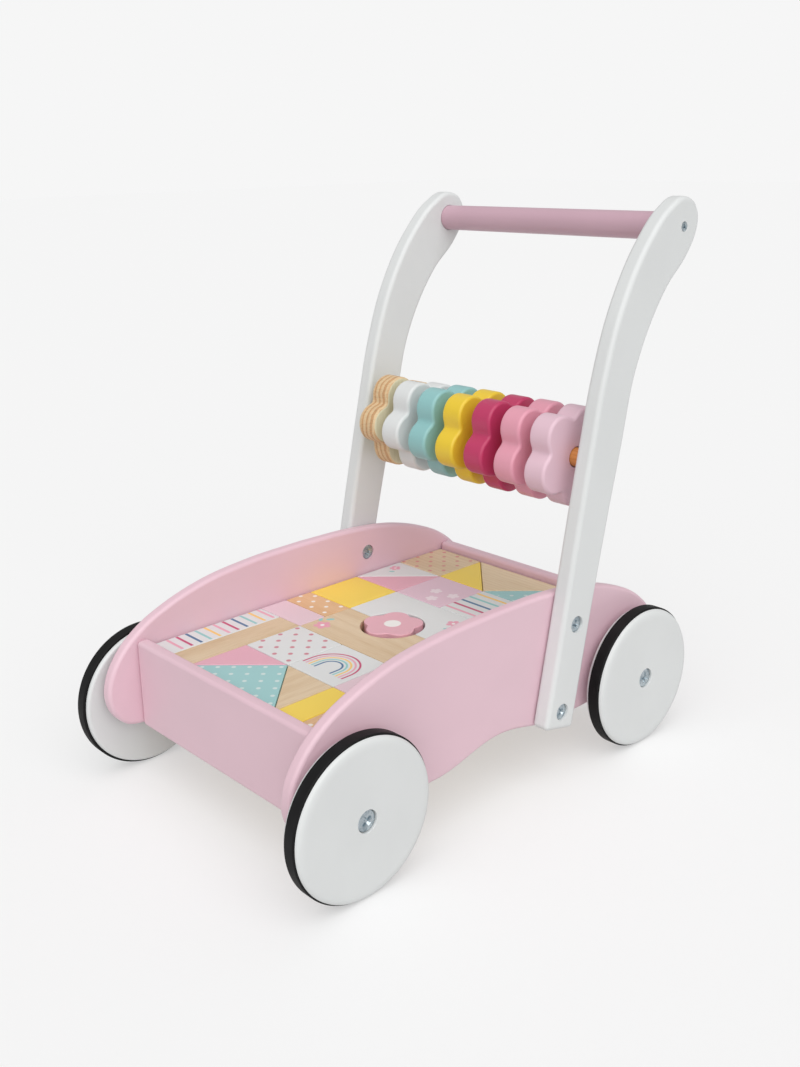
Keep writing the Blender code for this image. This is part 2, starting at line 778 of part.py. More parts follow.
def grid_point(a, b):
    """A place in the tray counted in units from the front right corner."""
    left = -UNITS_ACROSS * BLOCK_UNIT / 2
    front = TRAY_OFFSET - UNITS_ALONG * BLOCK_UNIT / 2
    return (left + a * BLOCK_UNIT, front + b * BLOCK_UNIT)


def block_prism(name, corners):
    """A block on the tray floor, with its corners at places of the grid."""
    places = [grid_point(a, b) for a, b in corners]
    middle = [sum(values) / len(places) for values in zip(*places)]
    outline = [(x - middle[0], y - middle[1]) for x, y in inset(places, BLOCK_INSET)]
    half = BLOCK_HEIGHT / 2
    origin = (middle[0], middle[1], BLOCK_BOTTOM + half)
    return prism(name, outline, -half, half, "Z", walker, origin)


def block(name, corners, colour):
    piece = block_prism(name, corners)
    soften(piece, BLOCK_ROUNDING, 1)
    finish(piece)
    paint(piece, colour)


def rectangle(x0, y0, x1, y1):
    return [(x0, y0), (x1, y0), (x1, y1), (x0, y1)]


def peg_hole_cutter(name):
    x, y = grid_point(*PEG_PLACE)
    angles = [2 * math.pi * step / ROD_STEPS for step in range(ROD_STEPS)]
    outline = [(PEG_HOLE_RADIUS * math.cos(a), PEG_HOLE_RADIUS * math.sin(a)) for a in angles]
    low = BLOCK_BOTTOM - BLOCK_HEIGHT
    high = BLOCK_TOP + BLOCK_HEIGHT
    return hidden(prism(name, outline, low, high, "Z", cutters, (x, y, 0.0)))


def bridge(name, corners, colour):
    """A block with half of the round peg hole in its side."""
    piece = block_prism(name, corners)
    cut(piece, peg_hole_cutter(name + "_arch"))
    soften(piece, BLOCK_ROUNDING, 1)
    finish(piece)
    paint(piece, colour)


def flower_peg():
    x, y = grid_point(*PEG_PLACE)
    radius = PEG_HOLE_RADIUS - PEG_SLACK
    outline = flower_outline(radius, radius * PEG_PETAL_SHARE, PEG_TURN, BEAD_STEPS)
    half = (BLOCK_HEIGHT + PEG_RISE) / 2
    origin = (x, y, BLOCK_BOTTOM + half)
    piece = prism("block_flower_peg", outline, -half, half, "Z", walker, origin)
    soften(piece, BLOCK_ROUNDING, 1)
    finish(piece)
    paint(piece, ROSE)


def front_blocks():
    block("block_striped_plank", rectangle(0, 0, 0.5, 2), WHITE_PAINT)
    block("block_natural_plank", rectangle(0.5, 0, 1, 2), NATURAL_WOOD)
    block("block_rose_triangle", [(1, 0), (2, 1), (1, 1)], ROSE)
    block("block_teal_gable", [(1, 0), (3, 0), (2, 1)], TEAL)
    block("block_natural_triangle", [(3, 0), (3, 1), (2, 1)], NATURAL_WOOD)
    block("block_yellow_half", rectangle(3, 0, 3.5, 1), YELLOW)
    block("block_peach_half_left", rectangle(3.5, 0, 4, 1), PEACH_WOOD)
    block("block_dotted_square", rectangle(1, 1, 2, 2), WHITE_PAINT)
    block("block_rainbow_square", rectangle(2, 1, 3, 2), WHITE_PAINT)
    block("block_light_pink_square", rectangle(3, 1, 4, 2), LIGHT_PINK)


def middle_blocks():
    block("block_light_pink_half", rectangle(0, 2, 1, 2.5), LIGHT_PINK)
    block("block_peach_half_right", rectangle(0, 2.5, 1, 3), PEACH_WOOD)
    bridge("block_natural_bridge", rectangle(1, 2, 3, 3), NATURAL_WOOD)
    bridge("block_white_bridge", rectangle(1, 3, 3, 4), WHITE_PAINT)
    flower_peg()
    block("block_yellow_square", rectangle(0, 3, 1, 4), YELLOW)
    block("block_natural_long", rectangle(3, 2, 4, 4), NATURAL_WOOD)


def rear_blocks():
    block("block_white_triangle", [(0, 4), (1, 5), (0, 5)], WHITE_PAINT)
    block("block_rose_triangle_rear", [(0, 4), (1, 4), (1, 5)], ROSE)
    block("block_lilac_square", rectangle(1, 4, 2, 5), LILAC_PINK)
    block("block_striped_square", rectangle(2, 4, 3, 5), WHITE_PAINT)
    block("block_natural_dotted", rectangle(0, 5, 1, 6), NATURAL_WOOD)
    block("block_yellow_triangle", [(1, 5), (2, 5), (1, 6)], YELLOW)
    block("block_natural_gable", [(2, 5), (3, 6), (1, 6)], NATURAL_WOOD)
    block("block_teal_triangle", [(2, 5), (3, 5), (3, 6)], TEAL)
    block("block_rose_long", rectangle(3, 4, 4, 6), ROSE)


def frame_pieces():
    for side, outward in sides():
        side_panel(side, outward)
        arm(side, outward)
        handle_screw(side, outward)
        for level, (y, z) in zip(("lower", "upper"), arm_bolt_places()):
            arm_bolt(f"arm_bolt_{level}_{side}", side, outward, y, z)
    end_panels()
    tray_floor()
    handle_bar()
    abacus_rod()


clear_scene()
walker = new_collection("baby_walker", bpy.context.scene.collection)
cutters = new_collection("cutters", bpy.context.scene.collection)
frame_pieces()
wheels()
beads()
front_blocks()
middle_blocks()
rear_blocks()
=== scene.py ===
"""Looks of the wooden baby walker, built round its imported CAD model.

Lengths are in metres, in the row frame: +Z up, the front faces -Y and the left side is +X.
"""

import json
import math

import bmesh
import bpy
from mathutils import Matrix, Vector

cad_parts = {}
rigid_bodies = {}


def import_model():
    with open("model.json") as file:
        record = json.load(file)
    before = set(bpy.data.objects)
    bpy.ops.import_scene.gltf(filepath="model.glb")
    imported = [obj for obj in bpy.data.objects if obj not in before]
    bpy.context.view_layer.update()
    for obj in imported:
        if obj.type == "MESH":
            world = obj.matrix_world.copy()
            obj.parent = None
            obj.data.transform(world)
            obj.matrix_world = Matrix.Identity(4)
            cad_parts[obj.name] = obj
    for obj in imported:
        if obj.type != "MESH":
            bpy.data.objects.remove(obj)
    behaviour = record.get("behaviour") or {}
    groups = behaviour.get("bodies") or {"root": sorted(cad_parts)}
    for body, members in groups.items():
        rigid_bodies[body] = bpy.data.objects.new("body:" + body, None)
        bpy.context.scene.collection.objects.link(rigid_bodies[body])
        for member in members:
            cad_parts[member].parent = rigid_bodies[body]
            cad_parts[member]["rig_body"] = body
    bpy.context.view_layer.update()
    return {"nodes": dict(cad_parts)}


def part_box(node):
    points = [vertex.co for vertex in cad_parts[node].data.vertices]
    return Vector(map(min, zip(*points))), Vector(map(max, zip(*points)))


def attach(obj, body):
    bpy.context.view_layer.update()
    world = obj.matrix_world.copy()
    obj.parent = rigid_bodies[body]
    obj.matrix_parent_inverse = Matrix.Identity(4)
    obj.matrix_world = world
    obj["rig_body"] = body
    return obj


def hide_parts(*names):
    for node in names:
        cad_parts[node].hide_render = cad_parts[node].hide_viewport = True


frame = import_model()

NODES = frame["nodes"]
SIDES = (("left", 1), ("right", -1))
ENDS = ("front", "rear")
MM = 0.001
SEED_STEP = 0.37

# Colours as sRGB, 0 to 1
PANEL_PINK = (0.905, 0.772, 0.815)
# The far panel's pink is the panels' paint made lighter: painted light, standing in for light bounced
# onto its inner face
FAR_PANEL_LIT_PINK = (0.918, 0.780, 0.825)
HANDLE_PINK = (0.800, 0.660, 0.712)
WHITE = (0.880, 0.888, 0.886)
YELLOW = (0.966, 0.842, 0.352)
TEAL = (0.625, 0.805, 0.805)
RASPBERRY = (0.760, 0.230, 0.400)
ROSE = (0.905, 0.685, 0.745)
LIGHT_PINK = (0.900, 0.795, 0.830)
LILAC = (0.895, 0.770, 0.825)
PEG_PINK = (0.910, 0.700, 0.745)
BEAD_YELLOW = (0.935, 0.800, 0.220)
BEAD_TEAL = (0.575, 0.770, 0.770)
BEAD_ROSE = (0.905, 0.630, 0.700)
BEAD_PINK = (0.900, 0.765, 0.815)
NAVY = (0.240, 0.440, 0.600)
PRINT_PINK = (0.915, 0.640, 0.715)
PRINT_RASPBERRY = (0.780, 0.250, 0.440)
PRINT_YELLOW = (0.975, 0.795, 0.430)
PRINT_TEAL = (0.560, 0.800, 0.790)
PRINT_WHITE = (0.960, 0.955, 0.940)
DOT_PINK = (0.810, 0.525, 0.570)
DOT_BROWN = (0.840, 0.560, 0.540)
SOFT_WHITE = (0.945, 0.880, 0.905)
PINE_LIGHT = (0.900, 0.820, 0.705)
PINE_DARK = (0.805, 0.690, 0.540)
# Pine made lighter for the rear gable block: painted light, standing in for light that the shaded rear
# of the tray lacks
LIT_GABLE_PINE_LIGHT = (0.930, 0.858, 0.740)
LIT_GABLE_PINE_DARK = (0.845, 0.740, 0.595)
PEACH_LIGHT = (0.905, 0.755, 0.590)
PEACH_DARK = (0.835, 0.655, 0.475)
ROD_LIGHT = (0.920, 0.640, 0.370)
ROD_DARK = (0.760, 0.480, 0.240)
PLY_FACE = (0.895, 0.872, 0.752)
PLY_FACE_DARK = (0.840, 0.808, 0.680)
PLY_PALE = (0.905, 0.790, 0.620)
PLY_BROWN = (0.820, 0.610, 0.420)
RUBBER = (0.060, 0.058, 0.062)
ZINC = (0.800, 0.840, 0.862)
ZINC_SHADE = (0.620, 0.675, 0.708)

# Soft edges: how far each one reaches and its facets
PANEL_ROUNDING = (3.0 * MM, 6)
ARM_ROUNDING = (3.6 * MM, 6)
BEAD_ROUNDING = (2.4 * MM, 6)
BLOCK_ROUNDING = (0.8 * MM, 3)

# Small edges, left by the tool or pressed in
HEAD_EDGE = 0.5 * MM
HEAD_CROWN = 0.25 * MM
AXLE_HEAD_CROWN = 0.3 * MM
AXLE_HEAD_SHOULDER = 0.7 * MM
AXLE_NUT_EDGE = 0.6 * MM
SCREW_CROWN = 0.1 * MM
SCREW_EDGE = 0.2 * MM
BAR_EDGE = 0.8 * MM
TYRE_EDGE = 1.1 * MM
WHEEL_RECESS_EDGE = 0.4 * MM
WHEEL_FACE_EDGE = 6.5 * MM
WHEEL_BACK_EDGE = 2.6 * MM
CROWN_SHARE = 0.6

# Cross recesses: shares of the head's radius and height, and how far a cutter stands above it
CROSS_WIDTH = 0.17
CROSS_REACH = 0.60
CROSS_MOUTH = 1.25
CUT_ABOVE = 0.5 * MM
CROSS_FLOOR = 0.55
BOLT_CROSS_DEPTH = 0.7
AXLE_CROSS_DEPTH = 0.65
SCREW_CROSS_DEPTH = 0.6
BOLT_CROSS_TURN = math.radians(20)
AXLE_CROSS_TURN = math.radians(15)
SCREW_CROSS_TURN = math.radians(25)

# Fineness of curves
OUTLINE_STEPS = 10
BEAD_STEPS = 180
PEG_STEPS = 150
PEG_HOLE_STEPS = 60
TURNED_STEPS = 128
SMALL_TURNED_STEPS = 64
FILLET_STEPS = 5
CORNER_ANGLE = math.radians(50)
SHARP_ANGLE = math.radians(38)

# Sizes of the CAD solids that no box gives
HEAD_HEIGHT = 2.0 * MM
AXLE_HEAD_HEIGHT = 2.6 * MM
SHANK_RADIUS = 3.0 * MM
AXLE_RADIUS = 3.5 * MM
AXLE_SHOULDER_RADIUS = 6.0 * MM
SCREW_RADIUS = 1.5 * MM
HOLE_SLACK = 0.3 * MM
AXLE_END_PLAY = 0.4 * MM
SOCKET_DEPTH = 8.0 * MM
WHEEL_BAND = 4.9 * MM
INNER_LIP_DROP = 0.7 * MM
LIP_FLAT = 0.4 * MM
TYRE_THICKNESS = 3.0 * MM
AXLE_RECESS_SLACK = 0.5 * MM
AXLE_RECESS_DEPTH = 3.8 * MM
BEAD_RADIUS = 38.0 * MM
BEAD_PETAL_RADIUS = 15.5 * MM
BEAD_HOLE_RADIUS = 7.7 * MM
BLOCK_INSET = 0.25 * MM
PEG_HOLE_RADIUS = 24.7 * MM
PEG_RADIUS = 23.5 * MM
PEG_PETAL_RADIUS = 10.34 * MM
PEG_TURN = math.radians(54.5)
ARCH_HALF_WIDTH = 62.5 * MM
ARCH_RISE = 10.0 * MM
PETALS = 5
PETAL_BLEND = 8

# Outlines as shares of the piece's length and height
SIDE_SHAPE = (
    (0.000, 1.000),
    (0.277, 0.986),
    (0.546, 0.923),
    (0.708, 0.834),
    (0.816, 0.745),
    (0.937, 0.564),
    (0.985, 0.419),
    (1.000, 0.275),
    (0.980, 0.140),
    (0.926, 0.039),
    (0.834, 0.000),
)
ARM_FRONT_EDGE = (
    (0.000, 0.019),
    (0.094, 0.200),
    (0.199, 0.407),
    (0.273, 0.547),
    (0.349, 0.680),
    (0.455, 0.803),
    (0.631, 0.921),
    (0.777, 0.980),
)
ARM_END = (
    (0.883, 1.000),
    (0.965, 0.989),
    (1.000, 0.960),
    (0.983, 0.925),
    (0.923, 0.887),
)
# How wide the arm is at a share of its height, as a share of its reach
ARM_WIDTHS = (
    (0.833, 0.2882),
    (0.758, 0.2458),
    (0.680, 0.2251),
    (0.547, 0.2191),
    (0.414, 0.2073),
    (0.279, 0.1980),
    (0.000, 0.1830),
)


def linear(colour):
    values = []
    for value in colour:
        values.append(value / 12.92 if value <= 0.04045 else ((value + 0.055) / 1.055) ** 2.4)
    return (*values, 1.0)


def tone(colour, factor):
    """The linear colour, lighter or darker by a factor."""
    red, green, blue, _ = linear(colour)
    return (min(red * factor, 1.0), min(green * factor, 1.0), min(blue * factor, 1.0), 1.0)


def middle_of(node):
    low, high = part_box(node)
    return (low + high) / 2


def reach_of(node):
    """How far from the walker's middle plane a piece of one side starts and ends."""
    low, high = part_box(node)
    return sorted((abs(low.x), abs(high.x)))


def half_height(node):
    low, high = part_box(node)
    return (high.z - low.z) / 2


# Node arithmetic ---------------------------------------------------------------------------


class Number:
    """A value worked out by a material's nodes, written like ordinary arithmetic."""

    def __init__(self, graph, socket):
        self.graph = graph
        self.socket = socket

    def __add__(self, other):
        return self.graph.math("ADD", self, other)

    def __sub__(self, other):
        return self.graph.math("SUBTRACT", self, other)

    def __rsub__(self, other):
        return self.graph.math("SUBTRACT", other, self)

    def __mul__(self, other):
        return self.graph.math("MULTIPLY", self, other)

    __radd__ = __add__
    __rmul__ = __mul__


class Graph:
    """A material on a Principled shader, with the piece's own place at rest in metres."""

    def __init__(self, name):
        self.material = bpy.data.materials.new(name)
        self.material.use_nodes = True
        self.tree = self.material.node_tree
        self.shader = self.tree.nodes["Principled BSDF"]
        self.place = self.node("ShaderNodeTexCoord").outputs["Object"]
        split = self.node("ShaderNodeSeparateXYZ")
        self.tree.links.new(self.place, split.inputs[0])
        self.x, self.y, self.z = [Number(self, output) for output in split.outputs]
        normal = self.node("ShaderNodeSeparateXYZ")
        facing = self.node("ShaderNodeTexCoord").outputs["Normal"]
        self.tree.links.new(facing, normal.inputs[0])
        self.nx, self.ny, self.nz = [Number(self, output) for output in normal.outputs]
        self.relief = None

    def node(self, kind, **settings):
        made = self.tree.nodes.new(kind)
        for name, value in settings.items():
            setattr(made, name, value)
        return made

    def put(self, value, socket):
        if isinstance(value, Number):
            self.tree.links.new(value.socket, socket)
        elif hasattr(value, "is_output"):
            self.tree.links.new(value, socket)
        else:
            socket.default_value = value

    def math(self, operation, *values):
        made = self.node("ShaderNodeMath", operation=operation)
        for value, socket in zip(values, made.inputs):
            self.put(value, socket)
        return Number(self, made.outputs[0])

    def length(self, a, b):
        return self.math("SQRT", a * a + b * b)

    def vector(self, x, y, z):
        made = self.node("ShaderNodeCombineXYZ")
        for value, socket in zip((x, y, z), made.inputs):
            self.put(value, socket)
        return made.outputs[0]

    def mix(self, share, first, second):
        made = self.node("ShaderNodeMix", data_type="RGBA")
        self.put(share, made.inputs[0])
        self.put(first, made.inputs[6])
        self.put(second, made.inputs[7])
        return made.outputs[2]

    def noise(self, place, scale, detail=2.0, roughness=0.5):
        made = self.node("ShaderNodeTexNoise")
        self.put(place, made.inputs["Vector"])
        made.inputs["Scale"].default_value = scale
        made.inputs["Detail"].default_value = detail
        made.inputs["Roughness"].default_value = roughness
        return Number(self, made.outputs["Fac"])

    def span(self, value, low, high, start=0.0, end=1.0):
        """start where the value is below low, end where it is above high."""
        made = self.node("ShaderNodeMapRange")
        made.interpolation_type = "SMOOTHSTEP"
        for entry, socket in zip((value, low, high, start, end), made.inputs):
            self.put(entry, socket)
        return Number(self, made.outputs[0])

    def below(self, value, limit, soft):
        return self.span(value, limit - soft, limit + soft, 1.0, 0.0)

    def above(self, value, limit, soft):
        return self.span(value, limit - soft, limit + soft, 0.0, 1.0)

    def bump(self, height, depth, strength=1.0):
        made = self.node("ShaderNodeBump")
        made.inputs["Strength"].default_value = strength
        made.inputs["Distance"].default_value = depth
        self.put(height, made.inputs["Height"])
        if self.relief is not None:
            self.put(self.relief, made.inputs["Normal"])
        self.relief = made.outputs["Normal"]

    def finish(self, colour, roughness, metallic=0.0, specular=0.5):
        self.put(colour, self.shader.inputs["Base Color"])
        self.put(roughness, self.shader.inputs["Roughness"])
        self.shader.inputs["Metallic"].default_value = metallic
        self.shader.inputs["Specular IOR Level"].default_value = specular
        if self.relief is not None:
            self.put(self.relief, self.shader.inputs["Normal"])
        return self.material


# Surfaces --------------------------------------------------------------------------------------


def stretched(graph, grain, along, seed):
    """The piece's place drawn out along its grain, moved by a seed so that no two pieces match."""
    scales = [1.0, 1.0, 1.0]
    scales["XYZ".index(grain)] = along
    parts = (graph.x, graph.y, graph.z)
    return graph.vector(*[part * scale + seed for part, scale in zip(parts, scales)])


def painted_surface(graph, colour, grain, seed):
    """Sprayed satin paint: faint mottling, the wood's grain just felt through it, fine texture."""
    fibres = graph.noise(stretched(graph, grain, 0.05, seed), scale=900.0, detail=3.0, roughness=0.6)
    cloud = graph.noise(stretched(graph, grain, 0.6, seed), scale=26.0, detail=3.0, roughness=0.5)
    peel = graph.noise(graph.place, scale=1500.0, detail=1.0)
    graph.bump(fibres, depth=0.05 * MM, strength=0.30)
    graph.bump(peel, depth=0.03 * MM, strength=0.25)
    shade = graph.mix(graph.span(cloud, 0.3, 0.7), tone(colour, 0.985), tone(colour, 1.012))
    pores = graph.below(fibres, 0.30, 0.06) * 0.10
    shade = graph.mix(pores, shade, tone(colour, 0.93))
    roughness = graph.span(cloud, 0.3, 0.7, 0.29, 0.37)
    return shade, roughness


def wood_surface(graph, light, dark, grain, seed):
    """Lacquered softwood cut from a round trunk: soft rings, fine fibres and short dark pores."""
    across, deep = {
        "X": (graph.y, graph.z),
        "Y": (graph.x, graph.z),
        "Z": (graph.x, graph.y),
    }[grain]
    broad = stretched(graph, grain, 0.10, seed)
    wander = graph.noise(broad, scale=34.0, detail=3.0) - 0.5
    heart = 0.055 + 0.025 * math.sin(seed * 9.0)
    radius = graph.length(across + heart, deep + (0.06 + 0.02 * math.cos(seed * 7.0)))
    rings = graph.math("SINE", (radius + wander * 0.010) * 1900.0) * 0.5 + 0.5
    rings = graph.math("POWER", rings, 2.5)
    fine = stretched(graph, grain, 0.030, seed + 3.0)
    fibres = graph.noise(fine, scale=1700.0, detail=4.0, roughness=0.65)
    cloud = graph.noise(stretched(graph, grain, 0.25, seed + 7.0), scale=30.0, detail=2.0, roughness=0.5)
    share = rings * 0.24 + graph.span(fibres, 0.3, 0.7) * 0.40 + graph.span(cloud, 0.3, 0.7) * 0.30
    colour = graph.mix(share, linear(light), linear(dark))
    pores = graph.below(fibres, 0.33, 0.03) * 0.25
    colour = graph.mix(pores, colour, tone(dark, 0.72))
    graph.bump(fibres, depth=0.06 * MM, strength=0.40)
    graph.bump(rings, depth=0.02 * MM, strength=0.25)
    roughness = graph.span(fibres, 0.3, 0.7, 0.44, 0.58)
    return colour, roughness


def painted(name, colour, grain="Y", seed=0.0):
    graph = Graph(name)
    shade, roughness = painted_surface(graph, colour, grain, seed)
    return graph.finish(shade, roughness, specular=0.5)


def lacquered(name, light, dark, grain="Y", seed=0.0):
    graph = Graph(name)
    colour, roughness = wood_surface(graph, light, dark, grain, seed)
    return graph.finish(colour, roughness, specular=0.38)


def rubber(name, seed):
    """Black rubber with a fine matt skin and a dusty bloom."""
    graph = Graph(name)
    skin = graph.noise(graph.place, scale=2600.0, detail=2.0, roughness=0.6)
    bloom = graph.noise(stretched(graph, "X", 1.0, seed), scale=60.0, detail=3.0, roughness=0.55)
    graph.bump(skin, depth=0.06 * MM, strength=0.5)
    colour = graph.mix(graph.span(bloom, 0.45, 0.75), tone(RUBBER, 0.8), tone(RUBBER, 1.9))
    roughness = graph.span(bloom, 0.3, 0.7, 0.50, 0.66)
    return graph.finish(colour, roughness, specular=0.25)


def zinc(name, middle, seed):
    """Bright zinc plate with turning marks round the head's middle."""
    graph = Graph(name)
    radius = graph.length(graph.y - middle.y, graph.z - middle.z)
    rings = graph.math("SINE", radius * 21000.0) * 0.5 + 0.5
    stain = graph.noise(stretched(graph, "X", 1.0, seed), scale=300.0, detail=3.0, roughness=0.55)
    graph.bump(rings, depth=0.01 * MM, strength=0.20)
    graph.bump(stain, depth=0.03 * MM, strength=0.2)
    colour = graph.mix(graph.span(stain, 0.35, 0.70), linear(ZINC), linear(ZINC_SHADE))
    roughness = graph.span(stain, 0.3, 0.7, 0.24, 0.38)
    return graph.finish(colour, roughness, metallic=1.0)


def plywood_bead(name, low, high, seed):
    """Birch plywood: pale veneer on the faces, and its wavy layers on the rim."""
    graph = Graph(name)
    wander = graph.noise(stretched(graph, "X", 0.3, seed), scale=55.0, detail=2.0) - 0.5
    ripple = graph.noise(stretched(graph, "X", 0.5, seed + 5.0), scale=260.0, detail=2.0) - 0.5
    share = (graph.x - low.x) * (1 / (high.x - low.x)) + wander * 0.34 + ripple * 0.10
    wave = graph.math("SINE", share * (2 * math.pi * 3.6) + 2.6) * 0.6
    wave = wave + graph.math("SINE", share * (2 * math.pi * 8.3) + 1.0) * 0.3 + 0.5
    ends = graph.noise(stretched(graph, "X", 0.25, seed), scale=900.0, detail=3.0, roughness=0.65)
    brown = graph.mix(graph.span(ends, 0.3, 0.7), linear(PLY_BROWN), tone(PLY_BROWN, 0.75))
    pale = graph.mix(graph.span(ends, 0.3, 0.7), linear(PLY_PALE), tone(PLY_PALE, 0.85))
    rim = graph.mix(graph.span(wave, 0.20, 1.0, 0.0, 0.85), pale, brown)
    face, roughness = wood_surface(graph, PLY_FACE, PLY_FACE_DARK, "Z", seed)
    on_face = graph.above(graph.math("ABSOLUTE", graph.nx), 0.86, 0.06)
    colour = graph.mix(on_face, rim, face)
    graph.bump(wave, depth=0.05 * MM, strength=0.4)
    return graph.finish(colour, roughness, specular=0.35)


# Printed blocks ------------------------------------------------------------------------------


def grid():
    """The block unit, and the place of the grid's front right corner."""
    first = middle_of("block_dotted_square")
    other = middle_of("block_light_pink_square")
    unit = (other.x - first.x) / 2
    return unit, first.x - 1.5 * unit, first.y - 1.5 * unit


UNIT, GRID_X, GRID_Y = grid()
PEG_PLACE = (2.0, 3.0)
INK_EDGE = 0.008
# Printed flowers, as shares of the flower's radius
PETAL_AT = 0.62
PETAL_SIZE = 0.37
FLOWER_BODY = 0.45
FLOWER_MIDDLE = 0.24


class Printing:
    """Ink on a block's top face, placed in block units from the grid's front right corner."""

    def __init__(self, graph, colour):
        self.graph = graph
        self.a = (graph.x - GRID_X) * (1 / UNIT)
        self.b = (graph.y - GRID_Y) * (1 / UNIT)
        self.top = graph.above(graph.nz, 0.9, 0.05)
        self.colour = colour
        grit = graph.noise(graph.place, scale=2500.0, detail=2.0)
        self.wear = graph.span(grit, 0.28, 0.42, 0.75, 1.0)

    def ink(self, mask, colour, cover=1.0):
        share = mask * self.top * self.wear * cover
        self.colour = self.graph.mix(share, self.colour, colour)

    def spot(self, a, b, radius, colour):
        away = self.graph.length(self.a - a, self.b - b)
        self.ink(self.graph.below(away, radius, INK_EDGE), linear(colour))

    def dots(self, start, pitch, radius, colour, cover=1.0):
        """Dots in staggered rows."""
        graph = self.graph
        nearest = None
        for shift in (0.0, 0.5):
            parts = []
            for value, first, step in zip((self.a, self.b), start, pitch):
                steps = (value - first) * (1 / step) + shift
                parts.append((steps - graph.math("ROUND", steps)) * step)
            away = graph.length(*parts)
            nearest = away if nearest is None else graph.math("MINIMUM", nearest, away)
        self.ink(graph.below(nearest, radius, INK_EDGE), linear(colour), cover)

    def stripes(self, first, pitch, width, reach, colours):
        """Short lines across the block, each colour in turn."""
        graph = self.graph
        steps = (self.b - first) * (1 / pitch)
        number = graph.math("ROUND", steps)
        away = graph.math("ABSOLUTE", steps - number) * pitch
        turn = graph.math("FLOORED_MODULO", number, float(len(colours)))
        ink = linear(colours[0])
        for index, colour in enumerate(colours[1:], 1):
            ink = graph.mix(graph.above(turn, index - 0.5, 0.01), ink, linear(colour))
        started = graph.above(self.b, first - pitch / 2, INK_EDGE)
        ends = graph.above(self.a, reach[0], INK_EDGE) * graph.below(self.a, reach[1], INK_EDGE)
        self.ink(graph.below(away, width / 2, INK_EDGE) * ends * started, ink)

    def flower(self, a, b, radius, colour, middle=None, turn=0.0, cover=1.0):
        """Five round petals about a middle."""
        graph = self.graph
        da = self.a - a
        db = self.b - b
        angle = graph.math("ARCTAN2", db, da) - turn
        pitch = 2 * math.pi / PETALS
        folded = graph.math("FLOORED_MODULO", angle + pitch / 2, pitch) - pitch / 2
        away = graph.length(da, db)
        along = away * graph.math("COSINE", folded) - radius * PETAL_AT
        across = away * graph.math("SINE", folded)
        petals = graph.below(graph.length(along, across), radius * PETAL_SIZE, INK_EDGE)
        body = graph.below(away, radius * FLOWER_BODY, INK_EDGE)
        mask = graph.math("MAXIMUM", petals, body)
        self.ink(mask, linear(colour), cover)
        if middle:
            self.spot(a, b, radius * FLOWER_MIDDLE, middle)

    def leaf(self, a, b, length, width, turn, colour):
        da = self.a - a
        db = self.b - b
        along = (da * math.cos(turn) + db * math.sin(turn)) * (1 / length)
        across = (db * math.cos(turn) - da * math.sin(turn)) * (1 / width)
        size = self.graph.length(along, across)
        self.ink(self.graph.below(size, 1.0, 0.12), linear(colour))

    def rainbow(self, a, b, feet, width, arcs):
        graph = self.graph
        da = graph.math("ABSOLUTE", self.a - a)
        db = graph.math("MAXIMUM", self.b - b, 0.0)
        away = graph.length(da, db)
        standing = graph.above(self.b, feet, INK_EDGE)
        for radius, colour in arcs:
            line = graph.below(graph.math("ABSOLUTE", away - radius), width / 2, INK_EDGE)
            self.ink(line * standing, linear(colour))


LINE_COLOURS = (PRINT_PINK, PRINT_RASPBERRY, NAVY, PRINT_TEAL, PRINT_YELLOW)


def print_striped_plank(ink):
    ink.stripes(0.253, 0.1655, 0.046, (0.025, 0.465), LINE_COLOURS)


def print_dotted_square(ink):
    ink.dots((1.233, 1.09), (0.333, 0.3236), 0.036, DOT_PINK)


def print_natural_dotted(ink):
    ink.dots((0.21, 5.229), (0.325, 0.333), 0.034, DOT_BROWN)


def print_teal_dots(ink):
    ink.dots((2.0, 0.886), (0.32, 0.317), 0.032, PRINT_WHITE, 0.55)


def print_peach_dots(ink):
    ink.dots((0.21, 2.596), (0.327, 0.334), 0.034, PRINT_WHITE, 0.9)


def print_rainbow(ink):
    arcs = (
        (0.420, PRINT_RASPBERRY),
        (0.355, PRINT_PINK),
        (0.292, PRINT_YELLOW),
        (0.232, PRINT_TEAL),
        (0.170, NAVY),
    )
    ink.rainbow(2.476, 1.385, 1.225, 0.030, arcs)


def print_natural_bridge(ink):
    ink.flower(1.235, 2.25, 0.14, PRINT_PINK, PRINT_WHITE, 0.3)
    ink.leaf(1.15, 2.48, 0.065, 0.035, 0.9, PRINT_TEAL)
    ink.leaf(1.05, 2.37, 0.055, 0.030, 2.2, PRINT_TEAL)


def print_white_bridge(ink):
    ink.flower(2.63, 3.68, 0.117, PRINT_PINK, PRINT_WHITE, 0.5)
    ink.leaf(2.69, 3.47, 0.050, 0.026, 0.7, PRINT_TEAL)


def print_white_triangle(ink):
    ink.flower(0.175, 4.735, 0.10, PRINT_PINK, PRINT_WHITE, 0.2)
    ink.leaf(0.26, 4.58, 0.050, 0.024, 0.6, PRINT_TEAL)


def print_lilac_square(ink):
    for a, b in ((1.46, 4.46), (1.82, 4.49), (1.635, 4.19)):
        ink.flower(a, b, 0.105, SOFT_WHITE, None, a * 3.0)


def print_striped_square(ink):
    ink.stripes(4.135, 0.1775, 0.050, (2.02, 2.98), LINE_COLOURS)


def print_flower_peg(ink):
    ink.spot(*PEG_PLACE, 0.130, PRINT_WHITE)


def rectangle(a0, b0, a1, b1):
    return ((a0, b0), (a1, b0), (a1, b1), (a0, b1))


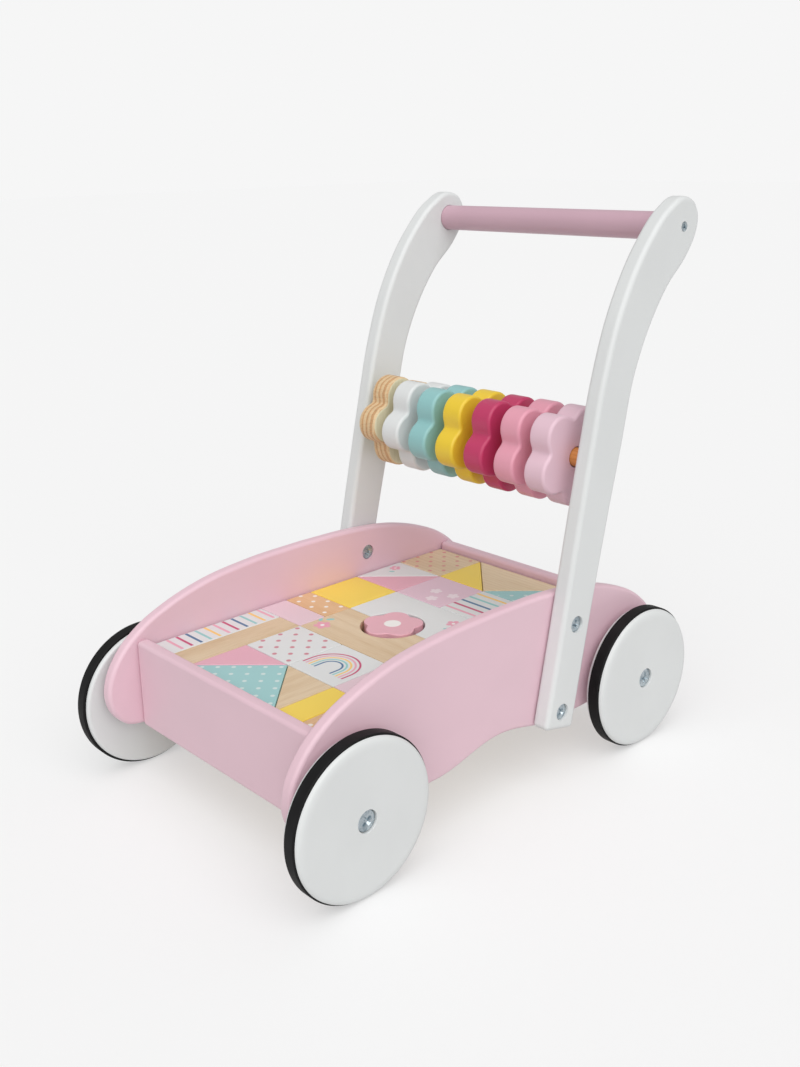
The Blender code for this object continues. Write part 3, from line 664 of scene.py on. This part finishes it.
# Block: its corners in the grid, paint or wood with its colours, the grain's direction and what
# is printed on it
BLOCKS = {
    "striped_plank": (rectangle(0, 0, 0.5, 2), WHITE, None, "Y", print_striped_plank),
    "natural_plank": (rectangle(0.5, 0, 1, 2), PINE_LIGHT, PINE_DARK, "Y", None),
    "rose_triangle": (((1, 0), (2, 1), (1, 1)), ROSE, None, "X", None),
    "teal_gable": (((1, 0), (3, 0), (2, 1)), TEAL, None, "X", print_teal_dots),
    "natural_triangle": (((3, 0), (3, 1), (2, 1)), PINE_LIGHT, PINE_DARK, "Y", None),
    "yellow_half": (rectangle(3, 0, 3.5, 1), YELLOW, None, "Y", None),
    "peach_half_left": (rectangle(3.5, 0, 4, 1), PEACH_LIGHT, PEACH_DARK, "Y", print_peach_dots),
    "dotted_square": (rectangle(1, 1, 2, 2), WHITE, None, "X", print_dotted_square),
    "rainbow_square": (rectangle(2, 1, 3, 2), WHITE, None, "X", print_rainbow),
    "light_pink_square": (rectangle(3, 1, 4, 2), LIGHT_PINK, None, "X", None),
    "light_pink_half": (rectangle(0, 2, 1, 2.5), LIGHT_PINK, None, "X", None),
    "peach_half_right": (rectangle(0, 2.5, 1, 3), PEACH_LIGHT, PEACH_DARK, "X", print_peach_dots),
    "natural_bridge": (rectangle(1, 2, 3, 3), PINE_LIGHT, PINE_DARK, "X", print_natural_bridge),
    "white_bridge": (rectangle(1, 3, 3, 4), WHITE, None, "X", print_white_bridge),
    "yellow_square": (rectangle(0, 3, 1, 4), YELLOW, None, "X", None),
    "natural_long": (rectangle(3, 2, 4, 4), PINE_LIGHT, PINE_DARK, "Y", None),
    "white_triangle": (((0, 4), (1, 5), (0, 5)), WHITE, None, "X", print_white_triangle),
    "rose_triangle_rear": (((0, 4), (1, 4), (1, 5)), ROSE, None, "X", None),
    "lilac_square": (rectangle(1, 4, 2, 5), LILAC, None, "X", print_lilac_square),
    "striped_square": (rectangle(2, 4, 3, 5), WHITE, None, "X", print_striped_square),
    "natural_dotted": (rectangle(0, 5, 1, 6), PINE_LIGHT, PINE_DARK, "X", print_natural_dotted),
    "yellow_triangle": (((1, 5), (2, 5), (1, 6)), YELLOW, None, "X", None),
    # The rear gable takes the lightened pine as painted light
    "natural_gable": (((2, 5), (3, 6), (1, 6)), LIT_GABLE_PINE_LIGHT, LIT_GABLE_PINE_DARK, "X", None),
    "teal_triangle": (((2, 5), (3, 5), (3, 6)), TEAL, None, "X", print_teal_dots),
    "rose_long": (rectangle(3, 4, 4, 6), ROSE, None, "Y", None),
}


def block_material(name, light, dark, grain, printing, seed):
    graph = Graph(name)
    if dark:
        colour, roughness = wood_surface(graph, light, dark, grain, seed)
    else:
        colour, roughness = painted_surface(graph, light, grain, seed)
    if printing:
        ink = Printing(graph, colour)
        printing(ink)
        colour = ink.colour
    return graph.finish(colour, roughness, specular=0.4)


# Shapes ----------------------------------------------------------------------------------------


def smooth_path(points, steps=OUTLINE_STEPS):
    """A smooth curve through the points, with the given steps in each span."""
    points = [Vector(point) for point in points]
    spans = [(b - a).length for a, b in zip(points, points[1:])]
    slopes = [(b - a) / span for a, b, span in zip(points, points[1:], spans)]
    tangents = [slopes[0]]
    for before, after, s0, s1 in zip(spans, spans[1:], slopes, slopes[1:]):
        tangents.append((s0 * after + s1 * before) / (before + after))
    tangents.append(slopes[-1])
    path = []
    for index, span in enumerate(spans):
        for step in range(steps):
            t = step / steps
            start = points[index] * (2 * t**3 - 3 * t**2 + 1)
            start += tangents[index] * span * (t**3 - 2 * t**2 + t)
            end = points[index + 1] * (3 * t**2 - 2 * t**3)
            end += tangents[index + 1] * span * (t**3 - t**2)
            path.append(tuple(start + end))
    path.append(tuple(points[-1]))
    return path


def within_box(outline, low, high):
    """The outline, kept from bulging out of the CAD solid's box."""
    return [(min(max(a, low[0]), high[0]), min(max(b, low[1]), high[1])) for a, b in outline]


def inset(corners, amount):
    """Moves each side of a convex, anticlockwise polygon inwards."""
    lines = []
    for start, end in zip(corners, corners[1:] + corners[:1]):
        direction = (Vector(end) - Vector(start)).normalized()
        normal = Vector((-direction.y, direction.x))
        lines.append((Vector(start) + normal * amount, direction))
    moved = []
    for (p, d), (q, e) in zip(lines[-1:] + lines[:-1], lines):
        share = (q - p).cross(e) / d.cross(e)
        moved.append(tuple(p + d * share))
    return moved


def new_object(name, bm):
    bmesh.ops.recalc_face_normals(bm, faces=bm.faces)
    mesh = bpy.data.meshes.new(name)
    bm.to_mesh(mesh)
    bm.free()
    obj = bpy.data.objects.new(name, mesh)
    bpy.context.scene.collection.objects.link(obj)
    return obj


def prism(name, outline, low, high, axis):
    """A solid with the outline as its section, running from low to high along X or Z."""
    bm = bmesh.new()
    rings = []
    for level in (low, high):
        if axis == "X":
            rings.append([bm.verts.new((level, a, b)) for a, b in outline])
        else:
            rings.append([bm.verts.new((a, b, level)) for a, b in outline])
    bm.faces.new(rings[0])
    bm.faces.new(rings[1])
    count = len(outline)
    for index in range(count):
        after = (index + 1) % count
        bm.faces.new((rings[0][index], rings[0][after], rings[1][after], rings[1][index]))
    return new_object(name, bm)


def filleted(corners):
    """A profile whose corners are rounded off over the length that each one gives."""
    path = []
    for index, (along, radius, *cuts) in enumerate(corners):
        corner = Vector((along, radius))
        if not cuts:
            path.append(tuple(corner))
            continue
        before = Vector(corners[index - 1][:2]) - corner
        after = Vector(corners[(index + 1) % len(corners)][:2]) - corner
        first = corner + before.normalized() * cuts[0]
        last = corner + after.normalized() * cuts[-1]
        for step in range(FILLET_STEPS + 1):
            t = step / FILLET_STEPS
            path.append(tuple(first * (1 - t) ** 2 + corner * 2 * t * (1 - t) + last * t**2))
    return path


def turned(name, corners, middle, outward, steps=SMALL_TURNED_STEPS, ring=False):
    """A turned piece. Its profile gives distances from the walker's middle plane, and radii."""
    bm = bmesh.new()
    rings = []
    for along, radius in filleted(corners):
        x = along * outward
        if radius < 0.001 * MM:
            rings.append([bm.verts.new((x, middle.y, middle.z))])
            continue
        angles = [2 * math.pi * step / steps for step in range(steps)]
        rings.append([bm.verts.new((x, middle.y + radius * math.cos(a),
                                    middle.z + radius * math.sin(a))) for a in angles])
    pairs = list(zip(rings, rings[1:]))
    if ring:
        pairs.append((rings[-1], rings[0]))
    for first, last in pairs:
        for index in range(steps):
            after = (index + 1) % steps
            corners_here = [first[index % len(first)], first[after % len(first)],
                            last[after % len(last)], last[index % len(last)]]
            bm.faces.new(list(dict.fromkeys(corners_here)))
    return new_object(name, bm)


def bore(radius, start, end, middle, outward=1):
    """A round cutter along X."""
    corners = ((start, 0.0), (start, radius), (end, radius), (end, 0.0))
    return turned("cutter", corners, middle, outward)


def cross_recess(top, radius, middle, outward, depth, turn):
    """A cutter for a head's cross, as wide as its arms at the top and narrower at the bottom."""
    wide = radius * CROSS_WIDTH
    long = radius * CROSS_REACH
    cross = ((long, wide), (wide, wide), (wide, long), (-wide, long), (-wide, wide), (-long, wide),
             (-long, -wide), (-wide, -wide), (-wide, -long), (wide, -long), (wide, -wide),
             (long, -wide))
    bm = bmesh.new()
    rings = []
    for along, size in ((top + CUT_ABOVE, CROSS_MOUTH), (top, 1.0), (top - depth, CROSS_FLOOR)):
        ring = []
        for a, b in cross:
            y = (a * math.cos(turn) - b * math.sin(turn)) * size
            z = (a * math.sin(turn) + b * math.cos(turn)) * size
            ring.append(bm.verts.new((along * outward, middle.y + y, middle.z + z)))
        rings.append(ring)
    bm.faces.new(rings[0])
    bm.faces.new(rings[-1])
    for first, last in zip(rings, rings[1:]):
        for index in range(len(cross)):
            after = (index + 1) % len(cross)
            bm.faces.new((first[index], first[after], last[after], last[index]))
    return new_object("cutter", bm)


def finished(obj, rounding=None, cutters=()):
    """Softens and cuts the shape, then shades it smooth with crisp edges."""
    if rounding:
        bevel = obj.modifiers.new("soft edges", "BEVEL")
        bevel.width, bevel.segments = rounding
        bevel.limit_method = "ANGLE"
        bevel.angle_limit = CORNER_ANGLE
    for cutter in cutters:
        boolean = obj.modifiers.new("cut", "BOOLEAN")
        boolean.operation = "DIFFERENCE"
        boolean.solver = "EXACT"
        boolean.object = cutter
    bpy.context.view_layer.update()
    evaluated = obj.evaluated_get(bpy.context.evaluated_depsgraph_get())
    mesh = bpy.data.meshes.new_from_object(evaluated)
    obj.modifiers.clear()
    obj.data = mesh
    for cutter in cutters:
        bpy.data.objects.remove(cutter, do_unlink=True)
    mesh.shade_smooth()
    mesh.set_sharp_from_angle(angle=SHARP_ANGLE)
    shading = obj.modifiers.new("even shading", "WEIGHTED_NORMAL")
    shading.keep_sharp = True
    return obj


def stand_in(obj, node, material):
    """The shape replaces the CAD node, rides on its body and takes its finish."""
    obj.data.materials.clear()
    obj.data.materials.append(material)
    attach(obj, NODES[node]["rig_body"])
    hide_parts(node)


def seed_of(node):
    """A number of the node's own, which moves its material's pattern."""
    return sorted(NODES).index(node) * SEED_STEP


# Pieces ----------------------------------------------------------------------------------------


def side_outline(low, high):
    half = (high.y - low.y) / 2
    middle = (high.y + low.y) / 2
    height = high.z - low.z
    edge = smooth_path([(a * half, low.z + b * height) for a, b in SIDE_SHAPE])
    steps = 2 * OUTLINE_STEPS
    for step in range(steps, -1, -1):
        share = step / steps
        rise = ARCH_RISE * (1 + math.cos(math.pi * share)) / 2
        edge.append((share * ARCH_HALF_WIDTH, low.z + rise))
    outline = edge + [(-y, z) for y, z in reversed(edge[1:-1])]
    placed = [(middle + y, z) for y, z in outline]
    return within_box(placed, (low.y, low.z), (high.y, high.z))


def side_panel(side, outward):
    node = "side_panel_" + side
    low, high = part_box(node)
    inner, outer = reach_of(node)
    piece = prism("look_" + node, side_outline(low, high), low.x, high.x, "X")
    cutters = []
    for level in ("lower", "upper"):
        bolt = f"arm_bolt_{level}_{side}"
        middle = middle_of(bolt)
        nut_floor = reach_of(bolt)[0] + HEAD_HEIGHT + HOLE_SLACK
        nut = half_height(bolt) + HOLE_SLACK
        shank = SHANK_RADIUS + HOLE_SLACK
        cutters.append(bore(nut, inner - SOCKET_DEPTH, nut_floor, middle, outward))
        cutters.append(bore(shank, inner - SOCKET_DEPTH, outer + SOCKET_DEPTH, middle, outward))
    for end in ENDS:
        middle = middle_of(f"wheel_bolt_{end}_{side}")
        axle = AXLE_RADIUS + HOLE_SLACK
        cutters.append(bore(axle, inner - SOCKET_DEPTH, outer + SOCKET_DEPTH, middle, outward))
    finished(piece, PANEL_ROUNDING, cutters)
    # The right panel takes the lighter copy of the pink as painted light
    pink = PANEL_PINK if side == "left" else FAR_PANEL_LIT_PINK
    stand_in(piece, node, painted(node, pink, "Y", seed_of(node)))


def end_panel(end):
    node = end + "_panel"
    low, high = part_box(node)
    outline = ((low.x, low.y), (high.x, low.y), (high.x, high.y), (low.x, high.y))
    piece = finished(prism("look_" + node, outline, low.z, high.z, "Z"), PANEL_ROUNDING)
    stand_in(piece, node, painted(node, PANEL_PINK, "X", seed_of(node)))


def edge_at(edge, height):
    """How far back an edge of the arm is at a share of its height."""
    points = sorted(edge, key=lambda point: point[1])
    for low, high in zip(points, points[1:]):
        if low[1] <= height <= high[1]:
            share = (height - low[1]) / (high[1] - low[1])
            return low[0] + share * (high[0] - low[0])
    return points[0][0]


def arm_outline(low, high):
    back = [(edge_at(ARM_FRONT_EDGE, height) + width, height) for height, width in ARM_WIDTHS]
    shares = ARM_FRONT_EDGE + ARM_END + tuple(back)
    size = high - low
    path = smooth_path([(low.y + a * size.y, low.z + b * size.z) for a, b in shares])
    return within_box(path, (low.y, low.z), (high.y, high.z))


def arm(side, outward):
    node = "arm_" + side
    low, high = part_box(node)
    inner, outer = reach_of(node)
    piece = prism("look_" + node, arm_outline(low, high), low.x, high.x, "X")
    inside = inner - SOCKET_DEPTH
    outside = outer + SOCKET_DEPTH
    cutters = []
    for level in ("lower", "upper"):
        bolt = f"arm_bolt_{level}_{side}"
        middle = middle_of(bolt)
        seat = reach_of(bolt)[1] - HEAD_HEIGHT - HOLE_SLACK
        cutters.append(bore(half_height(bolt) + HOLE_SLACK, seat, outside, middle, outward))
        cutters.append(bore(SHANK_RADIUS + HOLE_SLACK, inside, outside, middle, outward))
    for bar in ("handle_bar", "abacus_rod"):
        radius = half_height(bar) + HOLE_SLACK
        cutters.append(bore(radius, inside, inner + SOCKET_DEPTH, middle_of(bar), outward))
    screw = "handle_screw_" + side
    middle = middle_of(screw)
    head = half_height(screw) + HOLE_SLACK
    neck = outer - HEAD_HEIGHT - HOLE_SLACK
    narrow = SCREW_RADIUS + HOLE_SLACK
    sink = ((outside, 0.0), (outside, head), (outer, head), (neck, narrow), (inside, narrow),
            (inside, 0.0))
    cutters.append(turned("cutter", sink, middle, outward))
    finished(piece, ARM_ROUNDING, cutters)
    stand_in(piece, node, painted(node, WHITE, "Z", seed_of(node)))


def arm_bolt(level, side, outward):
    node = f"arm_bolt_{level}_{side}"
    inner, outer = reach_of(node)
    middle = middle_of(node)
    head = half_height(node)
    corners = (
        (outer, 0.0),
        (outer - HEAD_CROWN, head * CROWN_SHARE),
        (outer - 2 * HEAD_CROWN, head, HEAD_EDGE),
        (outer - HEAD_HEIGHT, head),
        (outer - HEAD_HEIGHT, SHANK_RADIUS),
        (inner + HEAD_HEIGHT, SHANK_RADIUS),
        (inner + HEAD_HEIGHT, head),
        (inner + 2 * HEAD_CROWN, head, HEAD_EDGE),
        (inner + HEAD_CROWN, head * CROWN_SHARE),
        (inner, 0.0),
    )
    bolt = turned("look_" + node, corners, middle, outward)
    depth = HEAD_HEIGHT * BOLT_CROSS_DEPTH
    turn = BOLT_CROSS_TURN + seed_of(node)
    cutters = (
        cross_recess(outer, head, middle, outward, depth, turn),
        cross_recess(-inner, head, middle, -outward, depth, turn),
    )
    finished(bolt, None, cutters)
    stand_in(bolt, node, zinc(node, middle, seed_of(node)))


def handle_screw(side, outward):
    node = "handle_screw_" + side
    inner, outer = reach_of(node)
    middle = middle_of(node)
    head = half_height(node)
    corners = (
        (outer, 0.0),
        (outer - SCREW_CROWN, head, SCREW_EDGE),
        (outer - HEAD_HEIGHT, SCREW_RADIUS),
        (inner + HEAD_HEIGHT, SCREW_RADIUS),
        (inner, 0.0),
    )
    screw = turned("look_" + node, corners, middle, outward)
    depth = HEAD_HEIGHT * SCREW_CROSS_DEPTH
    cutter = cross_recess(outer, head, middle, outward, depth, SCREW_CROSS_TURN)
    finished(screw, None, (cutter,))
    stand_in(screw, node, zinc(node, middle, seed_of(node)))


def bar(node, colours):
    low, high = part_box(node)
    radius = half_height(node)
    corners = (
        (high.x, 0.0),
        (high.x, radius, BAR_EDGE),
        (low.x, radius, BAR_EDGE),
        (low.x, 0.0),
    )
    piece = turned("look_" + node, corners, middle_of(node), 1)
    finished(piece)
    if len(colours) == 1:
        material = painted(node, colours[0], "X", seed_of(node))
    else:
        material = lacquered(node, *colours, "X", seed_of(node))
    stand_in(piece, node, material)


def wheel(end, side, outward):
    node = f"wheel_{end}_{side}"
    inner, outer = reach_of(node)
    centre = (inner + outer) / 2
    lip = half_height(node)
    groove = half_height(f"tyre_{end}_{side}") - TYRE_THICKNESS - HOLE_SLACK
    recess = half_height(f"wheel_bolt_{end}_{side}") + AXLE_RECESS_SLACK
    face = outer - centre - WHEEL_BAND
    corners = (
        (outer, recess, WHEEL_RECESS_EDGE),
        (outer, lip, WHEEL_FACE_EDGE, face),
        (centre + WHEEL_BAND, lip),
        (centre + WHEEL_BAND, groove),
        (centre - WHEEL_BAND, groove),
        (centre - WHEEL_BAND, lip - INNER_LIP_DROP),
        (inner, lip - INNER_LIP_DROP, face - LIP_FLAT, WHEEL_BACK_EDGE),
        (inner, AXLE_RADIUS + HOLE_SLACK / 2),
        (outer - AXLE_RECESS_DEPTH, AXLE_RADIUS + HOLE_SLACK / 2),
        (outer - AXLE_RECESS_DEPTH, recess),
    )
    disc = turned("look_" + node, corners, middle_of(node), outward, TURNED_STEPS, True)
    finished(disc)
    stand_in(disc, node, painted(node, WHITE, "Z", seed_of(node)))


def tyre(end, side, outward):
    node = f"tyre_{end}_{side}"
    inner, outer = reach_of(node)
    radius = half_height(node)
    seat = radius - TYRE_THICKNESS
    corners = (
        (outer, seat),
        (outer, radius, TYRE_EDGE),
        (inner, radius, TYRE_EDGE),
        (inner, seat),
    )
    band = turned("look_" + node, corners, middle_of(node), outward, TURNED_STEPS, True)
    finished(band)
    stand_in(band, node, rubber(node, seed_of(node)))


def wheel_bolt(end, side, outward):
    node = f"wheel_bolt_{end}_{side}"
    inner, outer = reach_of(node)
    middle = middle_of(node)
    head = half_height(node)
    panel = reach_of("side_panel_" + side)[1] + HOLE_SLACK
    shoulder = reach_of(f"wheel_{end}_{side}")[0] - AXLE_END_PLAY
    corners = (
        (outer, 0.0),
        (outer - AXLE_HEAD_CROWN, head * CROWN_SHARE),
        (outer - AXLE_HEAD_SHOULDER, head, HEAD_EDGE),
        (outer - AXLE_HEAD_HEIGHT, head),
        (outer - AXLE_HEAD_HEIGHT, AXLE_RADIUS),
        (shoulder, AXLE_RADIUS),
        (shoulder, AXLE_SHOULDER_RADIUS),
        (panel, AXLE_SHOULDER_RADIUS),
        (panel, AXLE_RADIUS),
        (inner + HEAD_HEIGHT, AXLE_RADIUS),
        (inner + HEAD_HEIGHT, AXLE_SHOULDER_RADIUS),
        (inner, AXLE_SHOULDER_RADIUS, AXLE_NUT_EDGE),
        (inner, 0.0),
    )
    bolt = turned("look_" + node, corners, middle, outward)
    turn = AXLE_CROSS_TURN + seed_of(node)
    depth = AXLE_HEAD_HEIGHT * AXLE_CROSS_DEPTH
    cutter = cross_recess(outer, head, middle, outward, depth, turn)
    finished(bolt, None, (cutter,))
    stand_in(bolt, node, zinc(node, middle, seed_of(node)))


def petal_edge(angle, petal_at, petal_radius):
    """The outline's radius where one petal's circle is crossed at an angle from its middle."""
    inside = petal_radius**2 - (petal_at * math.sin(angle)) ** 2
    if inside < 0 or math.cos(angle) < 0:
        return 0.0
    return petal_at * math.cos(angle) + math.sqrt(inside)


def flower_outline(middle, radius, petal_radius, turn, steps):
    """Five round petals that blend into each other, with the first petal at the turn."""
    outline = []
    pitch = 2 * math.pi / PETALS
    for step in range(steps):
        angle = 2 * math.pi * step / steps
        total = 0.0
        for petal in range(PETALS):
            away = (angle - petal * pitch + math.pi) % (2 * math.pi) - math.pi
            total += petal_edge(away, radius - petal_radius, petal_radius) ** PETAL_BLEND
        reach = total ** (1 / PETAL_BLEND)
        place = angle + turn
        outline.append((middle[0] + reach * math.cos(place), middle[1] + reach * math.sin(place)))
    return outline


PLY_SEED = 2.0

# Bead: the angle of a notch between two petals in degrees, and its colour
BEADS = {
    "bead_natural": (144, None),
    "bead_white": (151, WHITE),
    "bead_teal": (158, BEAD_TEAL),
    "bead_yellow": (160, BEAD_YELLOW),
    "bead_raspberry": (160, RASPBERRY),
    "bead_rose": (164, BEAD_ROSE),
    "bead_light_pink": (167, BEAD_PINK),
}


def bead(node, notch_angle, colour):
    low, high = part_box(node)
    rod = middle_of("abacus_rod")
    turn = math.radians(notch_angle) + math.pi / PETALS
    outline = flower_outline((rod.y, rod.z), BEAD_RADIUS, BEAD_PETAL_RADIUS, turn, BEAD_STEPS)
    piece = prism("look_" + node, outline, low.x, high.x, "X")
    hole = bore(BEAD_HOLE_RADIUS, low.x - SOCKET_DEPTH, high.x + SOCKET_DEPTH, rod)
    finished(piece, BEAD_ROUNDING, (hole,))
    if colour:
        material = painted(node, colour, "Z", seed_of(node))
    else:
        material = plywood_bead(node, low, high, PLY_SEED)
    stand_in(piece, node, material)


def grid_place(a, b):
    return (GRID_X + a * UNIT, GRID_Y + b * UNIT)


def bridge_outline(corners):
    """The block's outline with half of the round peg hole cut from its long side."""
    peg = Vector(grid_place(*PEG_PLACE))
    corners = inset([grid_place(a, b) for a, b in corners], BLOCK_INSET)
    down = corners[2][1] < peg.y
    outline = []
    skip = math.asin(BLOCK_INSET / PEG_HOLE_RADIUS)
    for step in range(PEG_HOLE_STEPS + 1):
        share = step / PEG_HOLE_STEPS
        angle = -skip - share * (math.pi - 2 * skip)
        if not down:
            angle = math.pi - skip - share * (math.pi - 2 * skip)
        outline.append((peg.x + PEG_HOLE_RADIUS * math.cos(angle),
                        peg.y + PEG_HOLE_RADIUS * math.sin(angle)))
    if down:
        return outline + [corners[3], corners[0], corners[1], corners[2]]
    return outline + [corners[1], corners[2], corners[3], corners[0]]


def block(name, corners, light, dark, grain, printing):
    node = "block_" + name
    low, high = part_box(node)
    if name.endswith("bridge"):
        outline = bridge_outline(corners)
    else:
        outline = inset([grid_place(a, b) for a, b in corners], BLOCK_INSET)
    piece = prism("look_" + node, outline, low.z, high.z, "Z")
    finished(piece, BLOCK_ROUNDING)
    seed = seed_of(node)
    stand_in(piece, node, block_material(node, light, dark, grain, printing, seed))


def flower_peg():
    node = "block_flower_peg"
    low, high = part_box(node)
    place = middle_of(node)
    centre = grid_place(*PEG_PLACE)
    outline = flower_outline(centre, PEG_RADIUS, PEG_PETAL_RADIUS, PEG_TURN, PEG_STEPS)
    piece = prism("look_" + node, outline, low.z, high.z, "Z")
    finished(piece, BLOCK_ROUNDING)
    material = block_material(node, PEG_PINK, None, "Z", print_flower_peg, place.x)
    stand_in(piece, node, material)


def give(obj, material):
    obj.data.materials.clear()
    obj.data.materials.append(material)


def walker():
    for side, outward in SIDES:
        side_panel(side, outward)
        arm(side, outward)
        handle_screw(side, outward)
        for level in ("lower", "upper"):
            arm_bolt(level, side, outward)
        for end in ENDS:
            wheel(end, side, outward)
            tyre(end, side, outward)
            wheel_bolt(end, side, outward)
    for end in ENDS:
        end_panel(end)
    bar("handle_bar", (HANDLE_PINK,))
    bar("abacus_rod", (ROD_LIGHT, ROD_DARK))
    for node, (notch_angle, colour) in BEADS.items():
        bead(node, notch_angle, colour)
    for name, settings in BLOCKS.items():
        block(name, *settings)
    flower_peg()
    give(NODES["tray_floor"], lacquered("tray_floor", PLY_PALE, PLY_FACE_DARK, "Y", 1.0))


# Floor, light and camera ----------------------------------------------------------------------

CAMERA_PLACE = (0.61802, -0.55388, 0.45156)
CAMERA_AZIMUTH = math.radians(47.389)
CAMERA_ELEVATION = math.radians(15.814)
CAMERA_ROLL = math.radians(-1.181)
CAMERA_LENS = 39.653
CAMERA_SENSOR = 36.0
CAMERA_SHIFT = (-0.00257, -0.0490)

# The floor's reflection, and its own brightness as the camera sees it and as it lights the walker
FLOOR_HALF_SIZE = 12.0
FLOOR_REFLECTION = 0.50
FLOOR_SEEN_GLOW = 0.445
FLOOR_GLOW = 0.22
# The studio's walls: their light on the walker, and their brightness as the camera sees it
WALL_LIGHT = 0.44
WALL_SEEN = 0.922
# The key light: degrees round from the front towards the left side, degrees up, strength, spread
KEY_AZIMUTH = 54.0
KEY_ELEVATION = 50.0
KEY_STRENGTH = 2.05
KEY_SPREAD = 80.0


def make_floor():
    """A pale studio floor that glows, so that its shadows stay light as on a lit table."""
    mesh = bpy.data.meshes.new("floor")
    half = FLOOR_HALF_SIZE
    corners = [(-half, -half, 0.0), (half, -half, 0.0), (half, half, 0.0), (-half, half, 0.0)]
    mesh.from_pydata(corners, [], [(0, 1, 2, 3)])
    floor = bpy.data.objects.new("floor", mesh)
    bpy.context.scene.collection.objects.link(floor)
    graph = Graph("floor")
    graph.shader.inputs["Emission Color"].default_value = (1.0, 1.0, 1.0, 1.0)
    seen = Number(graph, graph.node("ShaderNodeLightPath").outputs["Is Camera Ray"])
    glow = seen * (FLOOR_SEEN_GLOW - FLOOR_GLOW) + FLOOR_GLOW
    graph.put(glow, graph.shader.inputs["Emission Strength"])
    grey = (FLOOR_REFLECTION, FLOOR_REFLECTION, FLOOR_REFLECTION, 1.0)
    give(floor, graph.finish(grey, 1.0, specular=0.0))


def make_world():
    world = bpy.data.worlds.new("studio")
    world.use_nodes = True
    bpy.context.scene.world = world
    tree = world.node_tree
    tree.nodes.clear()
    output = tree.nodes.new("ShaderNodeOutputWorld")
    light = tree.nodes.new("ShaderNodeBackground")
    light.inputs["Color"].default_value = (1.0, 1.0, 1.0, 1.0)
    light.inputs["Strength"].default_value = WALL_LIGHT
    wall = tree.nodes.new("ShaderNodeBackground")
    wall.inputs["Color"].default_value = (1.0, 1.0, 1.0, 1.0)
    wall.inputs["Strength"].default_value = WALL_SEEN
    path = tree.nodes.new("ShaderNodeLightPath")
    mix = tree.nodes.new("ShaderNodeMixShader")
    tree.links.new(path.outputs["Is Camera Ray"], mix.inputs[0])
    tree.links.new(light.outputs[0], mix.inputs[1])
    tree.links.new(wall.outputs[0], mix.inputs[2])
    tree.links.new(mix.outputs[0], output.inputs["Surface"])


def make_key_light():
    """A broad light from far away."""
    data = bpy.data.lights.new("key", "SUN")
    data.energy = KEY_STRENGTH
    data.angle = math.radians(KEY_SPREAD)
    lamp = bpy.data.objects.new("key", data)
    a = math.radians(KEY_AZIMUTH)
    e = math.radians(KEY_ELEVATION)
    toward = Vector((math.sin(a) * math.cos(e), -math.cos(a) * math.cos(e), math.sin(e)))
    lamp.rotation_mode = "QUATERNION"
    lamp.rotation_quaternion = toward.to_track_quat("Z", "Y")
    bpy.context.scene.collection.objects.link(lamp)


def make_camera():
    """A camera at the photograph's view."""
    level = math.cos(CAMERA_ELEVATION)
    back = Vector((math.sin(CAMERA_AZIMUTH) * level, -math.cos(CAMERA_AZIMUTH) * level,
                   math.sin(CAMERA_ELEVATION)))
    right = (-back).cross(Vector((0.0, 0.0, 1.0))).normalized()
    up = right.cross(-back)
    cosine = math.cos(CAMERA_ROLL)
    sine = math.sin(CAMERA_ROLL)
    right, up = right * cosine + up * sine, up * cosine - right * sine
    data = bpy.data.cameras.new("camera")
    data.lens = CAMERA_LENS
    data.sensor_width = CAMERA_SENSOR
    data.shift_x, data.shift_y = CAMERA_SHIFT
    data.clip_start = 0.01
    camera = bpy.data.objects.new("camera", data)
    turn = Matrix((right, up, back)).transposed().to_4x4()
    camera.matrix_world = Matrix.Translation(CAMERA_PLACE) @ turn
    bpy.context.scene.collection.objects.link(camera)
    bpy.context.scene.camera = camera


walker()
make_floor()
make_world()
make_key_light()
make_camera()
bpy.context.scene.view_settings.view_transform = "Standard"
